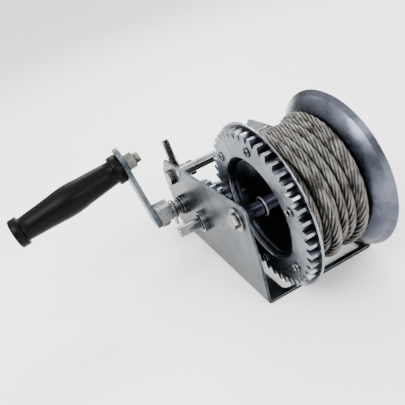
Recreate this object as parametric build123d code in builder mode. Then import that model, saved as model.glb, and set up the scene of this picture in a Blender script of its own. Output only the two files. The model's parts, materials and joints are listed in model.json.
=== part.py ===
from build123d import *
import os
from math import acos, cos, pi, radians, sin, sqrt, tan

os.makedirs("parts", exist_ok=True)

# Boat trailer winch with two input speeds.
# X runs along the drum axis, crank side towards -X. The drum is at the -Y end, which faces the boat.
# +Z is up. The origin is the centre of the base's length and width, on its underside.
# All sizes are in millimetres.

# ---------------------------------------------------------------- driving dimensions
# frame
FRAME_WIDTH = 124.0
FRAME_SHEET = 3.0
FRAME_BEND = 5.0
FRAME_FRONT = -111.0
FRAME_REAR = 111.0
PLATE_REAR_TOP = 99.6
PLATE_TOP_END = 91.0
PLATE_REAR_SHOULDER = 77.0
FRONT_EDGE_SET_BACK = 5.0
FRONT_EDGE_KNEE = 42.0
PLATE_CORNER = 6.0
BASE_HOLE_R = 5.5
BASE_HOLES_X = 70.0
BASE_HOLES_Y = 90.0
BASE_HOLES_MIDDLE_Y = 40.0
WINDOW_LEFT_X = -40.0
WINDOW_RIGHT_X = 54.0
WINDOW_FRONT_Y = -101.0
WINDOW_REAR_Y = -25.0
WINDOW_CORNER = 6.0

# drum
AXLE_Y = -92.0
DRUM_CLEARANCE = 14.0
PLATE_OVER_AXLE = 17.0
SLEEVE_R = 7.0
AXLE_BOLT_R = 4.0
AXLE_HEAD_FLATS = 13.0
WASHER_R = 12.0
WASHER_THICKNESS = 2.0
GEAR_FACE_X = -40.7
GEAR_WIDTH = 8.0
GEAR_RING = 19.8
FLANGE_PROUD = 3.9
FLANGE_SHEET = 2.0
PANEL_GAP = 2.4
PANEL_RISE = 2.3
RIVET_FROM_ROOT = 7.8
RIVET_COUNT = 6
RIVET_R = 3.6
RIVET_WALL = 0.5
RIVET_RIM = 1.0
RIVET_START = 40.0
BARREL_R = 28.0
BARREL_WALL = 2.5
HUB_WALL = 2.5
RIGHT_WEB_X = 31.0
RIGHT_WEB_R = 58.0
RIGHT_FLANGE_R = 80.0
RIGHT_DISH = 15.0

# rope
ROPE_D = 8.0
WIND_LEFT_R = 69.0
WIND_MIDDLE_R = 62.0
WIND_RIGHT_R = 68.0
FERRULE_R = 6.5
FERRULE_LENGTH = 30.0
FERRULE_ANGLE = 20.0

# gear train: drum gear and drive pinion, then intermediate gear and crank pinion
DRUM_TEETH = 45
DRIVE_TEETH = 18
DRUM_MODULE = 3.33
DRUM_PRESSURE = 20.0
MID_TEETH = 24
CRANK_TEETH = 10
MID_MODULE = 3.2
MID_PRESSURE = 25.0
MESH_ADDENDUM = 0.95
MESH_DEDENDUM = 1.25
MID_ADDENDUM = 0.8
MID_DEDENDUM = 1.1
BACKLASH = 0.45
DRIVE_OVERLAP = 1.2
MID_GEAR_GAP = 0.6
MID_GEAR_WIDTH = 7.0
SHAFT_Z = 51.0
SHAFT_R = 6.0
RUN_GAP = 0.05
BUSH_R = 8.0
BUSH_COLLAR_R = 12.0
BUSH_COLLAR = 7.0
BUSH_INNER_COLLAR = 1.0
DRIVE_STUB = 33.0
DRIVE_FLAT_LENGTH = 9.0
DRIVE_FLATS = 10.0
CLIP_R = 9.0
CLIP_THICKNESS = 1.2
CLIP_GROOVE = 0.5

# ratchet and pawl
RATCHET_TEETH = 12
RATCHET_R = 18.0
RATCHET_ROOT_R = 13.5
RATCHET_GAP = 1.5
RATCHET_WIDTH = 5.5
PAWL_Y = 74.0
PAWL_Z = 82.5
PAWL_BOLT_R = 5.0
PAWL_HEAD_FLATS = 16.0
PAWL_HEAD_HEIGHT = 6.4
PAWL_NUT_HEIGHT = 8.0
PAWL_PLATE_GAP = 0.4
PAWL_WIDTH = 8.0
PAWL_WALL = 1.6
PAWL_EYE_R = 9.5
PAWL_LIFT = 14.0
LEVER_LENGTH = 44.0
LEVER_LEAN = 12.0
LEVER_BREADTH = 6.0

# crank
SHAFT_IN_SOCKET = 16.0
STACK_GAP = 1.0
STACK_SPACER = 5.5
STACK_WASHER = 2.0
WASHER_STACK_R = 11.5
STACK_SPACER_R = 9.0
KEEPER_THICKNESS = 2.0
KEEPER_LOBE = 21.0
KEEPER_BREADTH = 15.0
SOCKET_NECK = 2.5
SOCKET_NECK_R = 9.5
SOCKET_LENGTH = 20.0
SOCKET_SIZE = 20.0
SOCKET_HEIGHT = 22.0
SOCKET_RISE = 3.0
SOCKET_CORNER = 3.0
ARM_LEAN = 8.0
ARM_REACH = 78.0
ARM_WIDTH = 24.0
ARM_THICKNESS = 6.0
ARM_TIP = 22.0
ARM_HEEL = 8.0
LOCK_BOLT_R = 4.0
LOCK_FLATS = 13.0
GRIP_LENGTH = 134.5
GRIP_COLLAR_R = 17.0
GRIP_NECK_R = 13.5
GRIP_BELLY_R = 17.7
GRIP_BELLY_LENGTH = 16.0
GRIP_BOLT_R = 6.0
GRIP_NUT_FLATS = 18.0
GRIP_NUT_HEIGHT = 10.8
GRIP_THREAD = 6.0
GRIP_COLLAR = 10.0
GRIP_GAP = 0.4
GRIP_RECESS = 5.0
GRIP_RECESS_R = 11.0
GRIP_HEAD = 4.0

# tie rod
TIE_Y = 45.0
TIE_Z = 96.5
TIE_R = 6.0
TIE_STUB_R = 4.0

# ---------------------------------------------------------------- places worked out from them
LEFT_OUT = -FRAME_WIDTH / 2
LEFT_IN = LEFT_OUT + FRAME_SHEET
AXLE_Z = RIGHT_FLANGE_R + DRUM_CLEARANCE
PLATE_FRONT_TOP = AXLE_Z + PLATE_OVER_AXLE
DRUM_GEAR_TIP_R = DRUM_MODULE * (DRUM_TEETH / 2 + MESH_ADDENDUM)
DRUM_GEAR_ROOT_R = DRUM_MODULE * (DRUM_TEETH / 2 - MESH_DEDENDUM)
LEFT_FLANGE_R = DRUM_GEAR_TIP_R + FLANGE_PROUD
RIVET_CIRCLE_R = DRUM_GEAR_ROOT_R - RIVET_FROM_ROOT
GEAR_BORE_R = DRUM_GEAR_ROOT_R - GEAR_RING
PANEL_R = GEAR_BORE_R - PANEL_GAP
STACK_X = LEFT_OUT - BUSH_COLLAR - STACK_GAP
KEEPER_X = STACK_X - 2 * STACK_WASHER - STACK_SPACER
SOCKET_X = KEEPER_X - KEEPER_THICKNESS - SOCKET_NECK
SHAFT_OUTER_X = SOCKET_X - SHAFT_IN_SOCKET
PAWL_X = LEFT_IN + PAWL_PLATE_GAP
RATCHET_X = LEFT_IN + RATCHET_GAP
MID_GEAR_X = GEAR_FACE_X - DRIVE_OVERLAP - MID_GEAR_GAP - MID_GEAR_WIDTH
RIGHT_IN = -LEFT_IN
RIGHT_OUT = -LEFT_OUT
GEAR_BACK_X = GEAR_FACE_X + GEAR_WIDTH
PANEL_X = GEAR_BACK_X - PANEL_RISE
FLANGE_BACK_X = GEAR_BACK_X + FLANGE_SHEET
RIGHT_WEB_OUT = RIGHT_WEB_X + FLANGE_SHEET

DRIVE_DISTANCE = DRUM_MODULE * (DRUM_TEETH + DRIVE_TEETH) / 2
CRANK_DISTANCE = MID_MODULE * (MID_TEETH + CRANK_TEETH) / 2
DRIVE_RISE = SHAFT_Z - AXLE_Z
DRIVE_Y = AXLE_Y + sqrt(DRIVE_DISTANCE**2 - DRIVE_RISE**2)
CRANK_Y = DRIVE_Y + CRANK_DISTANCE
MESH_ANGLE = Vector(0, 1, 0).get_signed_angle(
    Vector(0, DRIVE_Y - AXLE_Y, DRIVE_RISE), Vector(1, 0, 0)
)


def across(x, y=0.0, z=0.0):
    """A plane across the drum axis: its own x is +Y, its own y is +Z, and it faces +X."""
    return Plane(origin=(x, y, z), x_dir=(0, 1, 0), z_dir=(1, 0, 0))


def round_bar(x_from, x_to, y, z, radius, mode=Mode.ADD):
    """A round bar parallel to the drum axis."""
    with BuildSketch(across(x_from, y, z)) as section:
        Circle(radius)
    extrude(section.sketch, amount=x_to - x_from, mode=mode)


def tube(x_from, x_to, y, z, outer, inner):
    """A round tube parallel to the drum axis."""
    with BuildSketch(across(x_from, y, z)) as section:
        Circle(outer)
        Circle(inner, mode=Mode.SUBTRACT)
    extrude(section.sketch, amount=x_to - x_from)


def hexagon(plane, flats, height, bore=0.0):
    """A hexagon prism, with its corners broken where they would be on a bolt head or a nut."""
    with BuildSketch(plane) as section:
        RegularPolygon(flats / 2, 6, major_radius=False)
        if bore:
            Circle(bore, mode=Mode.SUBTRACT)
    extrude(section.sketch, amount=height)


def involute(angle):
    return tan(angle) - angle


def gear_outline(teeth, module, pressure, addendum, dedendum, phase):
    """Corner points of a spur gear with involute flanks; one tooth is centred on phase."""
    pitch_r = teeth * module / 2
    base_r = pitch_r * cos(radians(pressure))
    root_r = pitch_r - dedendum * module
    tip_r = pitch_r + addendum * module
    half_pitch = (pi * module / 2 - BACKLASH / 2) / (2 * pitch_r)
    start_r = max(base_r, root_r)
    steps = 4
    radii = [start_r + (tip_r - start_r) * i / steps for i in range(steps + 1)]
    flank = [(r, half_pitch + involute(radians(pressure)) - involute(acos(base_r / r))) for r in radii]
    if root_r < base_r:
        flank.insert(0, (root_r, flank[0][1]))
    points = []
    for tooth in range(teeth):
        middle = radians(phase) + 2 * pi * tooth / teeth
        for r, half in flank:
            points.append((r * cos(middle - half), r * sin(middle - half)))
        for r, half in reversed(flank):
            points.append((r * cos(middle + half), r * sin(middle + half)))
    return points


def ratchet_outline(teeth, tip_r, root_r, phase):
    """Saw teeth: a steep face that the pawl stops, and a long back that lifts it."""
    points = []
    for tooth in range(teeth):
        face = radians(phase) + 2 * pi * tooth / teeth
        points.append((tip_r * cos(face - 0.12), tip_r * sin(face - 0.12)))
        points.append((tip_r * cos(face), tip_r * sin(face)))
        points.append((root_r * cos(face), root_r * sin(face)))
    return points


# ---------------------------------------------------------------- frame
with BuildPart() as frame:
    with BuildSketch(Plane.XZ.offset(-FRAME_REAR)):
        Rectangle(FRAME_WIDTH, PLATE_FRONT_TOP, align=(Align.CENTER, Align.MIN))
        with Locations((0, FRAME_SHEET)):
            Rectangle(
                FRAME_WIDTH - 2 * FRAME_SHEET,
                PLATE_FRONT_TOP,
                align=(Align.CENTER, Align.MIN),
                mode=Mode.SUBTRACT,
            )
    extrude(amount=FRAME_REAR - FRAME_FRONT)
    long_edges = frame.edges().filter_by(Axis.Y)
    fillet(long_edges.filter_by_position(Axis.Z, -1, 1), FRAME_BEND)
    inner_edges = frame.edges().filter_by(Axis.Y).filter_by_position(Axis.Z, FRAME_SHEET - 0.1, FRAME_SHEET + 0.1)
    fillet(inner_edges, FRAME_BEND - FRAME_SHEET)
    with BuildSketch(across(LEFT_OUT - 1)) as side_outline:
        with BuildLine():
            Polyline(
                (FRAME_FRONT + FRONT_EDGE_SET_BACK, 0),
                (FRAME_FRONT, FRONT_EDGE_KNEE),
                (FRAME_FRONT, PLATE_FRONT_TOP),
                (PLATE_TOP_END, PLATE_REAR_TOP),
                (FRAME_REAR, PLATE_REAR_SHOULDER),
                (FRAME_REAR, 0),
                close=True,
            )
        make_face()
        upper = side_outline.vertices().filter_by(lambda v: v.Y > FRONT_EDGE_KNEE - 1)
        fillet(upper, PLATE_CORNER)
    extrude(amount=FRAME_WIDTH + 2, mode=Mode.INTERSECT)
    with BuildSketch(Plane.XY):
        with Locations((0, BASE_HOLES_MIDDLE_Y)):
            with GridLocations(BASE_HOLES_X, BASE_HOLES_Y, 2, 2):
                Circle(BASE_HOLE_R)
        with Locations(((WINDOW_LEFT_X + WINDOW_RIGHT_X) / 2, (WINDOW_FRONT_Y + WINDOW_REAR_Y) / 2)):
            RectangleRounded(WINDOW_RIGHT_X - WINDOW_LEFT_X, WINDOW_REAR_Y - WINDOW_FRONT_Y, WINDOW_CORNER)
    extrude(amount=FRAME_SHEET + 1, mode=Mode.SUBTRACT)
    holes = [
        (AXLE_Y, AXLE_Z, AXLE_BOLT_R),
        (DRIVE_Y, SHAFT_Z, BUSH_R),
        (CRANK_Y, SHAFT_Z, BUSH_R),
        (TIE_Y, TIE_Z, TIE_STUB_R),
    ]
    for hole_y, hole_z, hole_r in holes:
        round_bar(LEFT_OUT - 1, RIGHT_OUT + 1, hole_y, hole_z, hole_r, Mode.SUBTRACT)
    round_bar(LEFT_OUT - 1, LEFT_IN + 1, PAWL_Y, PAWL_Z, PAWL_BOLT_R, Mode.SUBTRACT)
frame.part.label = "frame"
export_step(frame.part, "parts/frame.step")

with BuildPart() as tie_rod:
    round_bar(LEFT_IN, RIGHT_IN, TIE_Y, TIE_Z, TIE_R)
    round_bar(LEFT_OUT - 1, RIGHT_OUT + 1, TIE_Y, TIE_Z, TIE_STUB_R)
tie_rod.part.label = "tie_rod"
export_step(tie_rod.part, "parts/tie_rod.step")

# ---------------------------------------------------------------- axle
NUT_HEIGHT = 6.5
HEAD_HEIGHT = 5.3
THREAD_PROUD = 4.0
RIGHT_SPACER_X = RIGHT_WEB_OUT + 0.4
RIGHT_SPACER_R = 9.0

with BuildPart() as axle_bolt:
    hexagon(across(LEFT_OUT - WASHER_THICKNESS - HEAD_HEIGHT, AXLE_Y, AXLE_Z), AXLE_HEAD_FLATS, HEAD_HEIGHT)
    chamfer(axle_bolt.faces().sort_by(Axis.X)[0].edges(), 0.5)
    round_bar(
        LEFT_OUT - WASHER_THICKNESS,
        RIGHT_OUT + WASHER_THICKNESS + NUT_HEIGHT + THREAD_PROUD,
        AXLE_Y,
        AXLE_Z,
        AXLE_BOLT_R,
    )
axle_bolt.part.label = "axle_bolt"
export_step(axle_bolt.part, "parts/axle_bolt.step")

with BuildPart() as axle_nut:
    hexagon(across(RIGHT_OUT + WASHER_THICKNESS, AXLE_Y, AXLE_Z), AXLE_HEAD_FLATS, NUT_HEIGHT, AXLE_BOLT_R)
axle_nut.part.label = "axle_nut"
export_step(axle_nut.part, "parts/axle_nut.step")

with BuildPart() as axle_washers:
    tube(LEFT_OUT - WASHER_THICKNESS, LEFT_OUT, AXLE_Y, AXLE_Z, WASHER_R, AXLE_BOLT_R)
    tube(RIGHT_OUT, RIGHT_OUT + WASHER_THICKNESS, AXLE_Y, AXLE_Z, WASHER_R, AXLE_BOLT_R)
axle_washers.part.label = "axle_washers"
export_step(axle_washers.part, "parts/axle_washers.step")

with BuildPart() as axle_sleeve:
    tube(LEFT_IN, RIGHT_IN, AXLE_Y, AXLE_Z, SLEEVE_R, AXLE_BOLT_R)
axle_sleeve.part.label = "axle_sleeve"
export_step(axle_sleeve.part, "parts/axle_sleeve.step")

with BuildPart() as drum_spacer:
    tube(RIGHT_SPACER_X, RIGHT_IN, AXLE_Y, AXLE_Z, RIGHT_SPACER_R, SLEEVE_R)
drum_spacer.part.label = "drum_spacer"
export_step(drum_spacer.part, "parts/drum_spacer.step")

# ---------------------------------------------------------------- drum
HUB_R = SLEEVE_R + RUN_GAP
HUB_OUT_R = HUB_R + HUB_WALL

with BuildPart() as drum_gear:
    with BuildSketch(across(GEAR_FACE_X, AXLE_Y, AXLE_Z)):
        with BuildLine():
            Polyline(
                gear_outline(DRUM_TEETH, DRUM_MODULE, DRUM_PRESSURE, MESH_ADDENDUM, MESH_DEDENDUM, MESH_ANGLE),
                close=True,
            )
        make_face()
        Circle(GEAR_BORE_R, mode=Mode.SUBTRACT)
        with PolarLocations(RIVET_CIRCLE_R, RIVET_COUNT, start_angle=RIVET_START):
            Circle(RIVET_R, mode=Mode.SUBTRACT)
    extrude(amount=GEAR_WIDTH)
    bore_edges = drum_gear.edges().filter_by(GeomType.CIRCLE).filter_by(lambda e: e.radius > RIVET_CIRCLE_R / 2)
    fillet(bore_edges.filter_by(lambda e: abs(e.radius - GEAR_BORE_R) < 0.01).sort_by(Axis.X)[0], 1.5)
drum_gear.part.label = "drum_gear"
export_step(drum_gear.part, "parts/drum_gear.step")

# The profiles of turned and pressed drum parts lie in a plane through the axis: (x, radius).
DRUM_SECTION = Plane(origin=(0, AXLE_Y, AXLE_Z), x_dir=(1, 0, 0), z_dir=(0, -1, 0))
DRUM_AXIS = Axis((0, AXLE_Y, AXLE_Z), (1, 0, 0))

with BuildPart() as left_flange:
    with BuildSketch(DRUM_SECTION):
        with BuildLine():
            Polyline(
                (PANEL_X, HUB_OUT_R),
                (PANEL_X, PANEL_R - PANEL_RISE),
                (GEAR_BACK_X, PANEL_R),
                (GEAR_BACK_X, LEFT_FLANGE_R),
                (FLANGE_BACK_X, LEFT_FLANGE_R),
                (FLANGE_BACK_X, PANEL_R - FLANGE_SHEET),
                (PANEL_X + FLANGE_SHEET, PANEL_R - PANEL_RISE - FLANGE_SHEET),
                (PANEL_X + FLANGE_SHEET, HUB_OUT_R),
                close=True,
            )
        make_face()
    revolve(axis=DRUM_AXIS)
    with BuildSketch(across(GEAR_BACK_X - 1, AXLE_Y, AXLE_Z)):
        with PolarLocations(RIVET_CIRCLE_R, RIVET_COUNT, start_angle=RIVET_START):
            Circle(RIVET_R)
    extrude(amount=FLANGE_SHEET + 2, mode=Mode.SUBTRACT)
    rim_edges = left_flange.edges().filter_by(lambda e: e.geom_type == GeomType.CIRCLE)
    fillet(rim_edges.filter_by(lambda e: abs(e.radius - LEFT_FLANGE_R) < 0.01), 0.8)
left_flange.part.label = "left_flange"
export_step(left_flange.part, "parts/left_flange.step")

with BuildPart() as flange_rivets:
    rivet_head = 1.2
    with BuildSketch(across(GEAR_FACE_X, AXLE_Y, AXLE_Z)):
        with PolarLocations(RIVET_CIRCLE_R, RIVET_COUNT, start_angle=RIVET_START):
            Circle(RIVET_R)
    extrude(amount=GEAR_WIDTH + FLANGE_SHEET)
    with BuildSketch(across(GEAR_FACE_X - rivet_head, AXLE_Y, AXLE_Z)):
        with PolarLocations(RIVET_CIRCLE_R, RIVET_COUNT, start_angle=RIVET_START):
            Circle(RIVET_R + RIVET_RIM)
    extrude(amount=rivet_head)
    with BuildSketch(across(GEAR_FACE_X - rivet_head, AXLE_Y, AXLE_Z)):
        with PolarLocations(RIVET_CIRCLE_R, RIVET_COUNT, start_angle=RIVET_START):
            Circle(RIVET_R - RIVET_WALL)
    extrude(amount=rivet_head + 3, mode=Mode.SUBTRACT)
flange_rivets.part.label = "flange_rivets"
export_step(flange_rivets.part, "parts/flange_rivets.step")

with BuildPart() as drum_barrel:
    tube(PANEL_X + FLANGE_SHEET, RIGHT_WEB_X, AXLE_Y, AXLE_Z, BARREL_R, BARREL_R - BARREL_WALL)
drum_barrel.part.label = "drum_barrel"
export_step(drum_barrel.part, "parts/drum_barrel.step")

with BuildPart() as hub_tube:
    tube(PANEL_X, RIGHT_WEB_OUT, AXLE_Y, AXLE_Z, HUB_OUT_R, HUB_R)
hub_tube.part.label = "hub_tube"
export_step(hub_tube.part, "parts/hub_tube.step")

RIM_X = RIGHT_WEB_OUT + RIGHT_DISH
TAIL_CIRCLE_R = 38.0
TAIL_ANGLE = 200.0
tail_spot = across(RIGHT_WEB_X, AXLE_Y, AXLE_Z).from_local_coords(
    Vector(TAIL_CIRCLE_R, 0).rotate(Axis.Z, TAIL_ANGLE)
)
with BuildPart() as right_flange:
    with BuildSketch(DRUM_SECTION):
        with BuildLine():
            web_line = Line((RIGHT_WEB_X, HUB_OUT_R), (RIGHT_WEB_X, RIGHT_WEB_R))
            dish_in = RadiusArc(web_line @ 1, (RIM_X - 5, RIGHT_FLANGE_R - 4.5), 34)
            rim_in = Line(dish_in @ 1, (RIM_X - 1.2, RIGHT_FLANGE_R))
            rim_out = Line(rim_in @ 1, (RIM_X, RIGHT_FLANGE_R - 1.5))
            lip_out = Line(rim_out @ 1, (RIM_X - 4.0, RIGHT_FLANGE_R - 6.2))
            dish_out = RadiusArc(lip_out @ 1, (RIGHT_WEB_OUT, RIGHT_WEB_R - 0.6), -32)
            web_out = Line(dish_out @ 1, (RIGHT_WEB_OUT, HUB_OUT_R))
            Line(web_out @ 1, web_line @ 0)
        make_face()
    revolve(axis=DRUM_AXIS)
    round_bar(RIGHT_WEB_X - 1, RIGHT_WEB_OUT + 1, tail_spot.Y, tail_spot.Z, ROPE_D / 2, Mode.SUBTRACT)
right_flange.part.label = "right_flange"
export_step(right_flange.part, "parts/right_flange.step")

# ---------------------------------------------------------------- rope
TAIL_END_X = 47.0
CLAMP_LENGTH = 10.0
CLAMP_SIZE = 16.0
CLAMP_SCREW_R = 2.5
with BuildPart() as rope_winding:
    with BuildSketch(DRUM_SECTION):
        with BuildLine():
            left_side = Line((FLANGE_BACK_X, BARREL_R), (FLANGE_BACK_X, WIND_LEFT_R - 3))
            crown = Spline(
                left_side @ 1,
                (FLANGE_BACK_X + 7, WIND_LEFT_R),
                (0, WIND_MIDDLE_R),
                (RIGHT_WEB_X - 7, WIND_RIGHT_R),
                (RIGHT_WEB_X, RIGHT_WEB_R - 1),
            )
            right_side = Line(crown @ 1, (RIGHT_WEB_X, BARREL_R))
            Line(right_side @ 1, left_side @ 0)
        make_face()
    revolve(axis=DRUM_AXIS)
rope_winding.part.label = "rope_winding"
export_step(rope_winding.part, "parts/rope_winding.step")

with BuildPart() as rope_tail:
    round_bar(RIGHT_WEB_X, TAIL_END_X, tail_spot.Y, tail_spot.Z, ROPE_D / 2)
rope_tail.part.label = "rope_tail"
export_step(rope_tail.part, "parts/rope_tail.step")

with BuildPart() as rope_clamp:
    with BuildSketch(across(RIGHT_WEB_OUT, tail_spot.Y, tail_spot.Z)):
        RectangleRounded(CLAMP_SIZE, CLAMP_SIZE, 2)
        Circle(ROPE_D / 2, mode=Mode.SUBTRACT)
    extrude(amount=CLAMP_LENGTH)
    with BuildSketch(Plane.XY.offset(tail_spot.Z - CLAMP_SIZE / 2 - 1)):
        with Locations((RIGHT_WEB_OUT + CLAMP_LENGTH / 2, tail_spot.Y)):
            Circle(CLAMP_SCREW_R)
    extrude(amount=CLAMP_SIZE / 2, mode=Mode.SUBTRACT)
rope_clamp.part.label = "rope_clamp"
export_step(rope_clamp.part, "parts/rope_clamp.step")

with BuildPart() as clamp_screw:
    screw_head = 3.0
    with BuildSketch(Plane.XY.offset(tail_spot.Z - CLAMP_SIZE / 2 - screw_head)):
        with Locations((RIGHT_WEB_OUT + CLAMP_LENGTH / 2, tail_spot.Y)):
            RegularPolygon(CLAMP_SCREW_R * 1.6, 6, major_radius=False)
    extrude(amount=screw_head)
    with BuildSketch(Plane.XY.offset(tail_spot.Z - CLAMP_SIZE / 2)):
        with Locations((RIGHT_WEB_OUT + CLAMP_LENGTH / 2, tail_spot.Y)):
            Circle(CLAMP_SCREW_R)
    extrude(amount=(CLAMP_SIZE - ROPE_D) / 2 - 0.8)
clamp_screw.part.label = "clamp_screw"
export_step(clamp_screw.part, "parts/clamp_screw.step")

# The free end of the rope lies on the winding at the rear of the drum, in a swaged ferrule.
ferrule_out = Vector(0, 1, 0).rotate(Axis.X, FERRULE_ANGLE)
ferrule_along = Vector(0, 0, 1).rotate(Axis.X, FERRULE_ANGLE)
ferrule_spot = Vector(0, AXLE_Y, AXLE_Z) + ferrule_out * (WIND_MIDDLE_R + FERRULE_R - 0.2)
with BuildPart() as rope_ferrule:
    with BuildSketch(Plane(origin=ferrule_spot - ferrule_along * (FERRULE_LENGTH / 2), z_dir=ferrule_along)):
        Circle(FERRULE_R)
    extrude(amount=FERRULE_LENGTH)
    fillet(rope_ferrule.edges().filter_by(GeomType.CIRCLE), 1.5)
rope_ferrule.part.label = "rope_ferrule"
export_step(rope_ferrule.part, "parts/rope_ferrule.step")

# ---------------------------------------------------------------- input shafts and their gears
RIGHT_COLLAR = 4.0
CLIP_GAP = 0.4
LEFT_CLIP_X = LEFT_OUT - BUSH_COLLAR - CLIP_GAP
RIGHT_CLIP_X = RIGHT_OUT + RIGHT_COLLAR + CLIP_GAP
SHAFT_END_X = RIGHT_CLIP_X + CLIP_THICKNESS + 2
GROOVE_R = SHAFT_R - CLIP_GROOVE


def clip_groove(x, y):
    """The groove that holds a retaining clip; x is its left side."""
    with BuildSketch(across(x, y, SHAFT_Z)) as groove:
        Circle(SHAFT_R + 1)
        Circle(GROOVE_R, mode=Mode.SUBTRACT)
    extrude(groove.sketch, amount=CLIP_THICKNESS, mode=Mode.SUBTRACT)


def bushes(y):
    """A flanged bush in each side plate, with a running fit for the shaft."""
    bore = SHAFT_R + RUN_GAP
    tube(LEFT_OUT - BUSH_COLLAR, LEFT_OUT, y, SHAFT_Z, BUSH_COLLAR_R, bore)
    tube(LEFT_OUT, LEFT_IN, y, SHAFT_Z, BUSH_R, bore)
    tube(LEFT_IN, LEFT_IN + BUSH_INNER_COLLAR, y, SHAFT_Z, BUSH_COLLAR_R, bore)
    tube(RIGHT_IN - BUSH_INNER_COLLAR, RIGHT_IN, y, SHAFT_Z, BUSH_COLLAR_R, bore)
    tube(RIGHT_IN, RIGHT_OUT, y, SHAFT_Z, BUSH_R, bore)
    tube(RIGHT_OUT, RIGHT_OUT + RIGHT_COLLAR, y, SHAFT_Z, BUSH_COLLAR_R, bore)


with BuildPart() as crank_shaft_bushes:
    bushes(CRANK_Y)
crank_shaft_bushes.part.label = "crank_shaft_bushes"
export_step(crank_shaft_bushes.part, "parts/crank_shaft_bushes.step")

with BuildPart() as drive_shaft_bushes:
    bushes(DRIVE_Y)
drive_shaft_bushes.part.label = "drive_shaft_bushes"
export_step(drive_shaft_bushes.part, "parts/drive_shaft_bushes.step")

DRIVE_END_X = LEFT_OUT - DRIVE_STUB
with BuildPart() as drive_shaft:
    round_bar(DRIVE_END_X + DRIVE_FLAT_LENGTH, SHAFT_END_X, DRIVE_Y, SHAFT_Z, SHAFT_R)
    with BuildSketch(across(DRIVE_END_X, DRIVE_Y, SHAFT_Z)):
        Circle(SHAFT_R)
        Rectangle(DRIVE_FLATS, 2 * SHAFT_R, mode=Mode.INTERSECT)
    extrude(amount=DRIVE_FLAT_LENGTH)
    chamfer(drive_shaft.faces().sort_by(Axis.X)[0].edges(), 0.6)
    clip_groove(LEFT_CLIP_X - CLIP_THICKNESS, DRIVE_Y)
    clip_groove(RIGHT_CLIP_X, DRIVE_Y)
drive_shaft.part.label = "drive_shaft"
export_step(drive_shaft.part, "parts/drive_shaft.step")

with BuildPart() as drive_shaft_clips:
    tube(LEFT_CLIP_X - CLIP_THICKNESS, LEFT_CLIP_X, DRIVE_Y, SHAFT_Z, CLIP_R, GROOVE_R)
    tube(RIGHT_CLIP_X, RIGHT_CLIP_X + CLIP_THICKNESS, DRIVE_Y, SHAFT_Z, CLIP_R, GROOVE_R)
drive_shaft_clips.part.label = "drive_shaft_clips"
export_step(drive_shaft_clips.part, "parts/drive_shaft_clips.step")

with BuildPart() as drive_pinion:
    drive_phase = MESH_ANGLE + 180 + 180 / DRIVE_TEETH
    with BuildSketch(across(GEAR_FACE_X - DRIVE_OVERLAP, DRIVE_Y, SHAFT_Z)):
        with BuildLine():
            Polyline(
                gear_outline(DRIVE_TEETH, DRUM_MODULE, DRUM_PRESSURE, MESH_ADDENDUM, MESH_DEDENDUM, drive_phase),
                close=True,
            )
        make_face()
        Circle(SHAFT_R, mode=Mode.SUBTRACT)
    extrude(amount=GEAR_WIDTH + DRIVE_OVERLAP - 0.6)
drive_pinion.part.label = "drive_pinion"
export_step(drive_pinion.part, "parts/drive_pinion.step")

with BuildPart() as middle_gear:
    with BuildSketch(across(MID_GEAR_X, DRIVE_Y, SHAFT_Z)):
        with BuildLine():
            Polyline(
                gear_outline(MID_TEETH, MID_MODULE, MID_PRESSURE, MID_ADDENDUM, MID_DEDENDUM, 0),
                close=True,
            )
        make_face()
        Circle(SHAFT_R, mode=Mode.SUBTRACT)
    extrude(amount=MID_GEAR_WIDTH)
middle_gear.part.label = "middle_gear"
export_step(middle_gear.part, "parts/middle_gear.step")

with BuildPart() as crank_pinion:
    crank_phase = 180 + 180 / CRANK_TEETH
    with BuildSketch(across(MID_GEAR_X, CRANK_Y, SHAFT_Z)):
        with BuildLine():
            Polyline(
                gear_outline(CRANK_TEETH, MID_MODULE, MID_PRESSURE, MID_ADDENDUM, MID_DEDENDUM, crank_phase),
                close=True,
            )
        make_face()
        Circle(SHAFT_R, mode=Mode.SUBTRACT)
    extrude(amount=MID_GEAR_WIDTH)
crank_pinion.part.label = "crank_pinion"
export_step(crank_pinion.part, "parts/crank_pinion.step")

with BuildPart() as crank_shaft:
    round_bar(SHAFT_OUTER_X, SHAFT_END_X, CRANK_Y, SHAFT_Z, SHAFT_R)
    chamfer(crank_shaft.faces().sort_by(Axis.X)[-1].edges(), 0.6)
    clip_groove(RIGHT_CLIP_X, CRANK_Y)
crank_shaft.part.label = "crank_shaft"
export_step(crank_shaft.part, "parts/crank_shaft.step")

with BuildPart() as crank_shaft_clip:
    tube(RIGHT_CLIP_X, RIGHT_CLIP_X + CLIP_THICKNESS, CRANK_Y, SHAFT_Z, CLIP_R, GROOVE_R)
crank_shaft_clip.part.label = "crank_shaft_clip"
export_step(crank_shaft_clip.part, "parts/crank_shaft_clip.step")

with BuildPart() as crank_washers:
    tube(STACK_X - STACK_WASHER, STACK_X, CRANK_Y, SHAFT_Z, WASHER_STACK_R, SHAFT_R)
    tube(KEEPER_X, KEEPER_X + STACK_WASHER, CRANK_Y, SHAFT_Z, WASHER_STACK_R, SHAFT_R)
crank_washers.part.label = "crank_washers"
export_step(crank_washers.part, "parts/crank_washers.step")

with BuildPart() as crank_spacer:
    tube(KEEPER_X + STACK_WASHER, STACK_X - STACK_WASHER, CRANK_Y, SHAFT_Z, STACK_SPACER_R, SHAFT_R)
crank_spacer.part.label = "crank_spacer"
export_step(crank_spacer.part, "parts/crank_spacer.step")

# ---------------------------------------------------------------- ratchet and pawl
with BuildPart() as ratchet_wheel:
    with BuildSketch(across(RATCHET_X, CRANK_Y, SHAFT_Z)):
        with BuildLine():
            Polyline(ratchet_outline(RATCHET_TEETH, RATCHET_R, RATCHET_ROOT_R, 0), close=True)
        make_face()
        Circle(SHAFT_R, mode=Mode.SUBTRACT)
    extrude(amount=RATCHET_WIDTH)
ratchet_wheel.part.label = "ratchet_wheel"
export_step(ratchet_wheel.part, "parts/ratchet_wheel.step")

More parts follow.
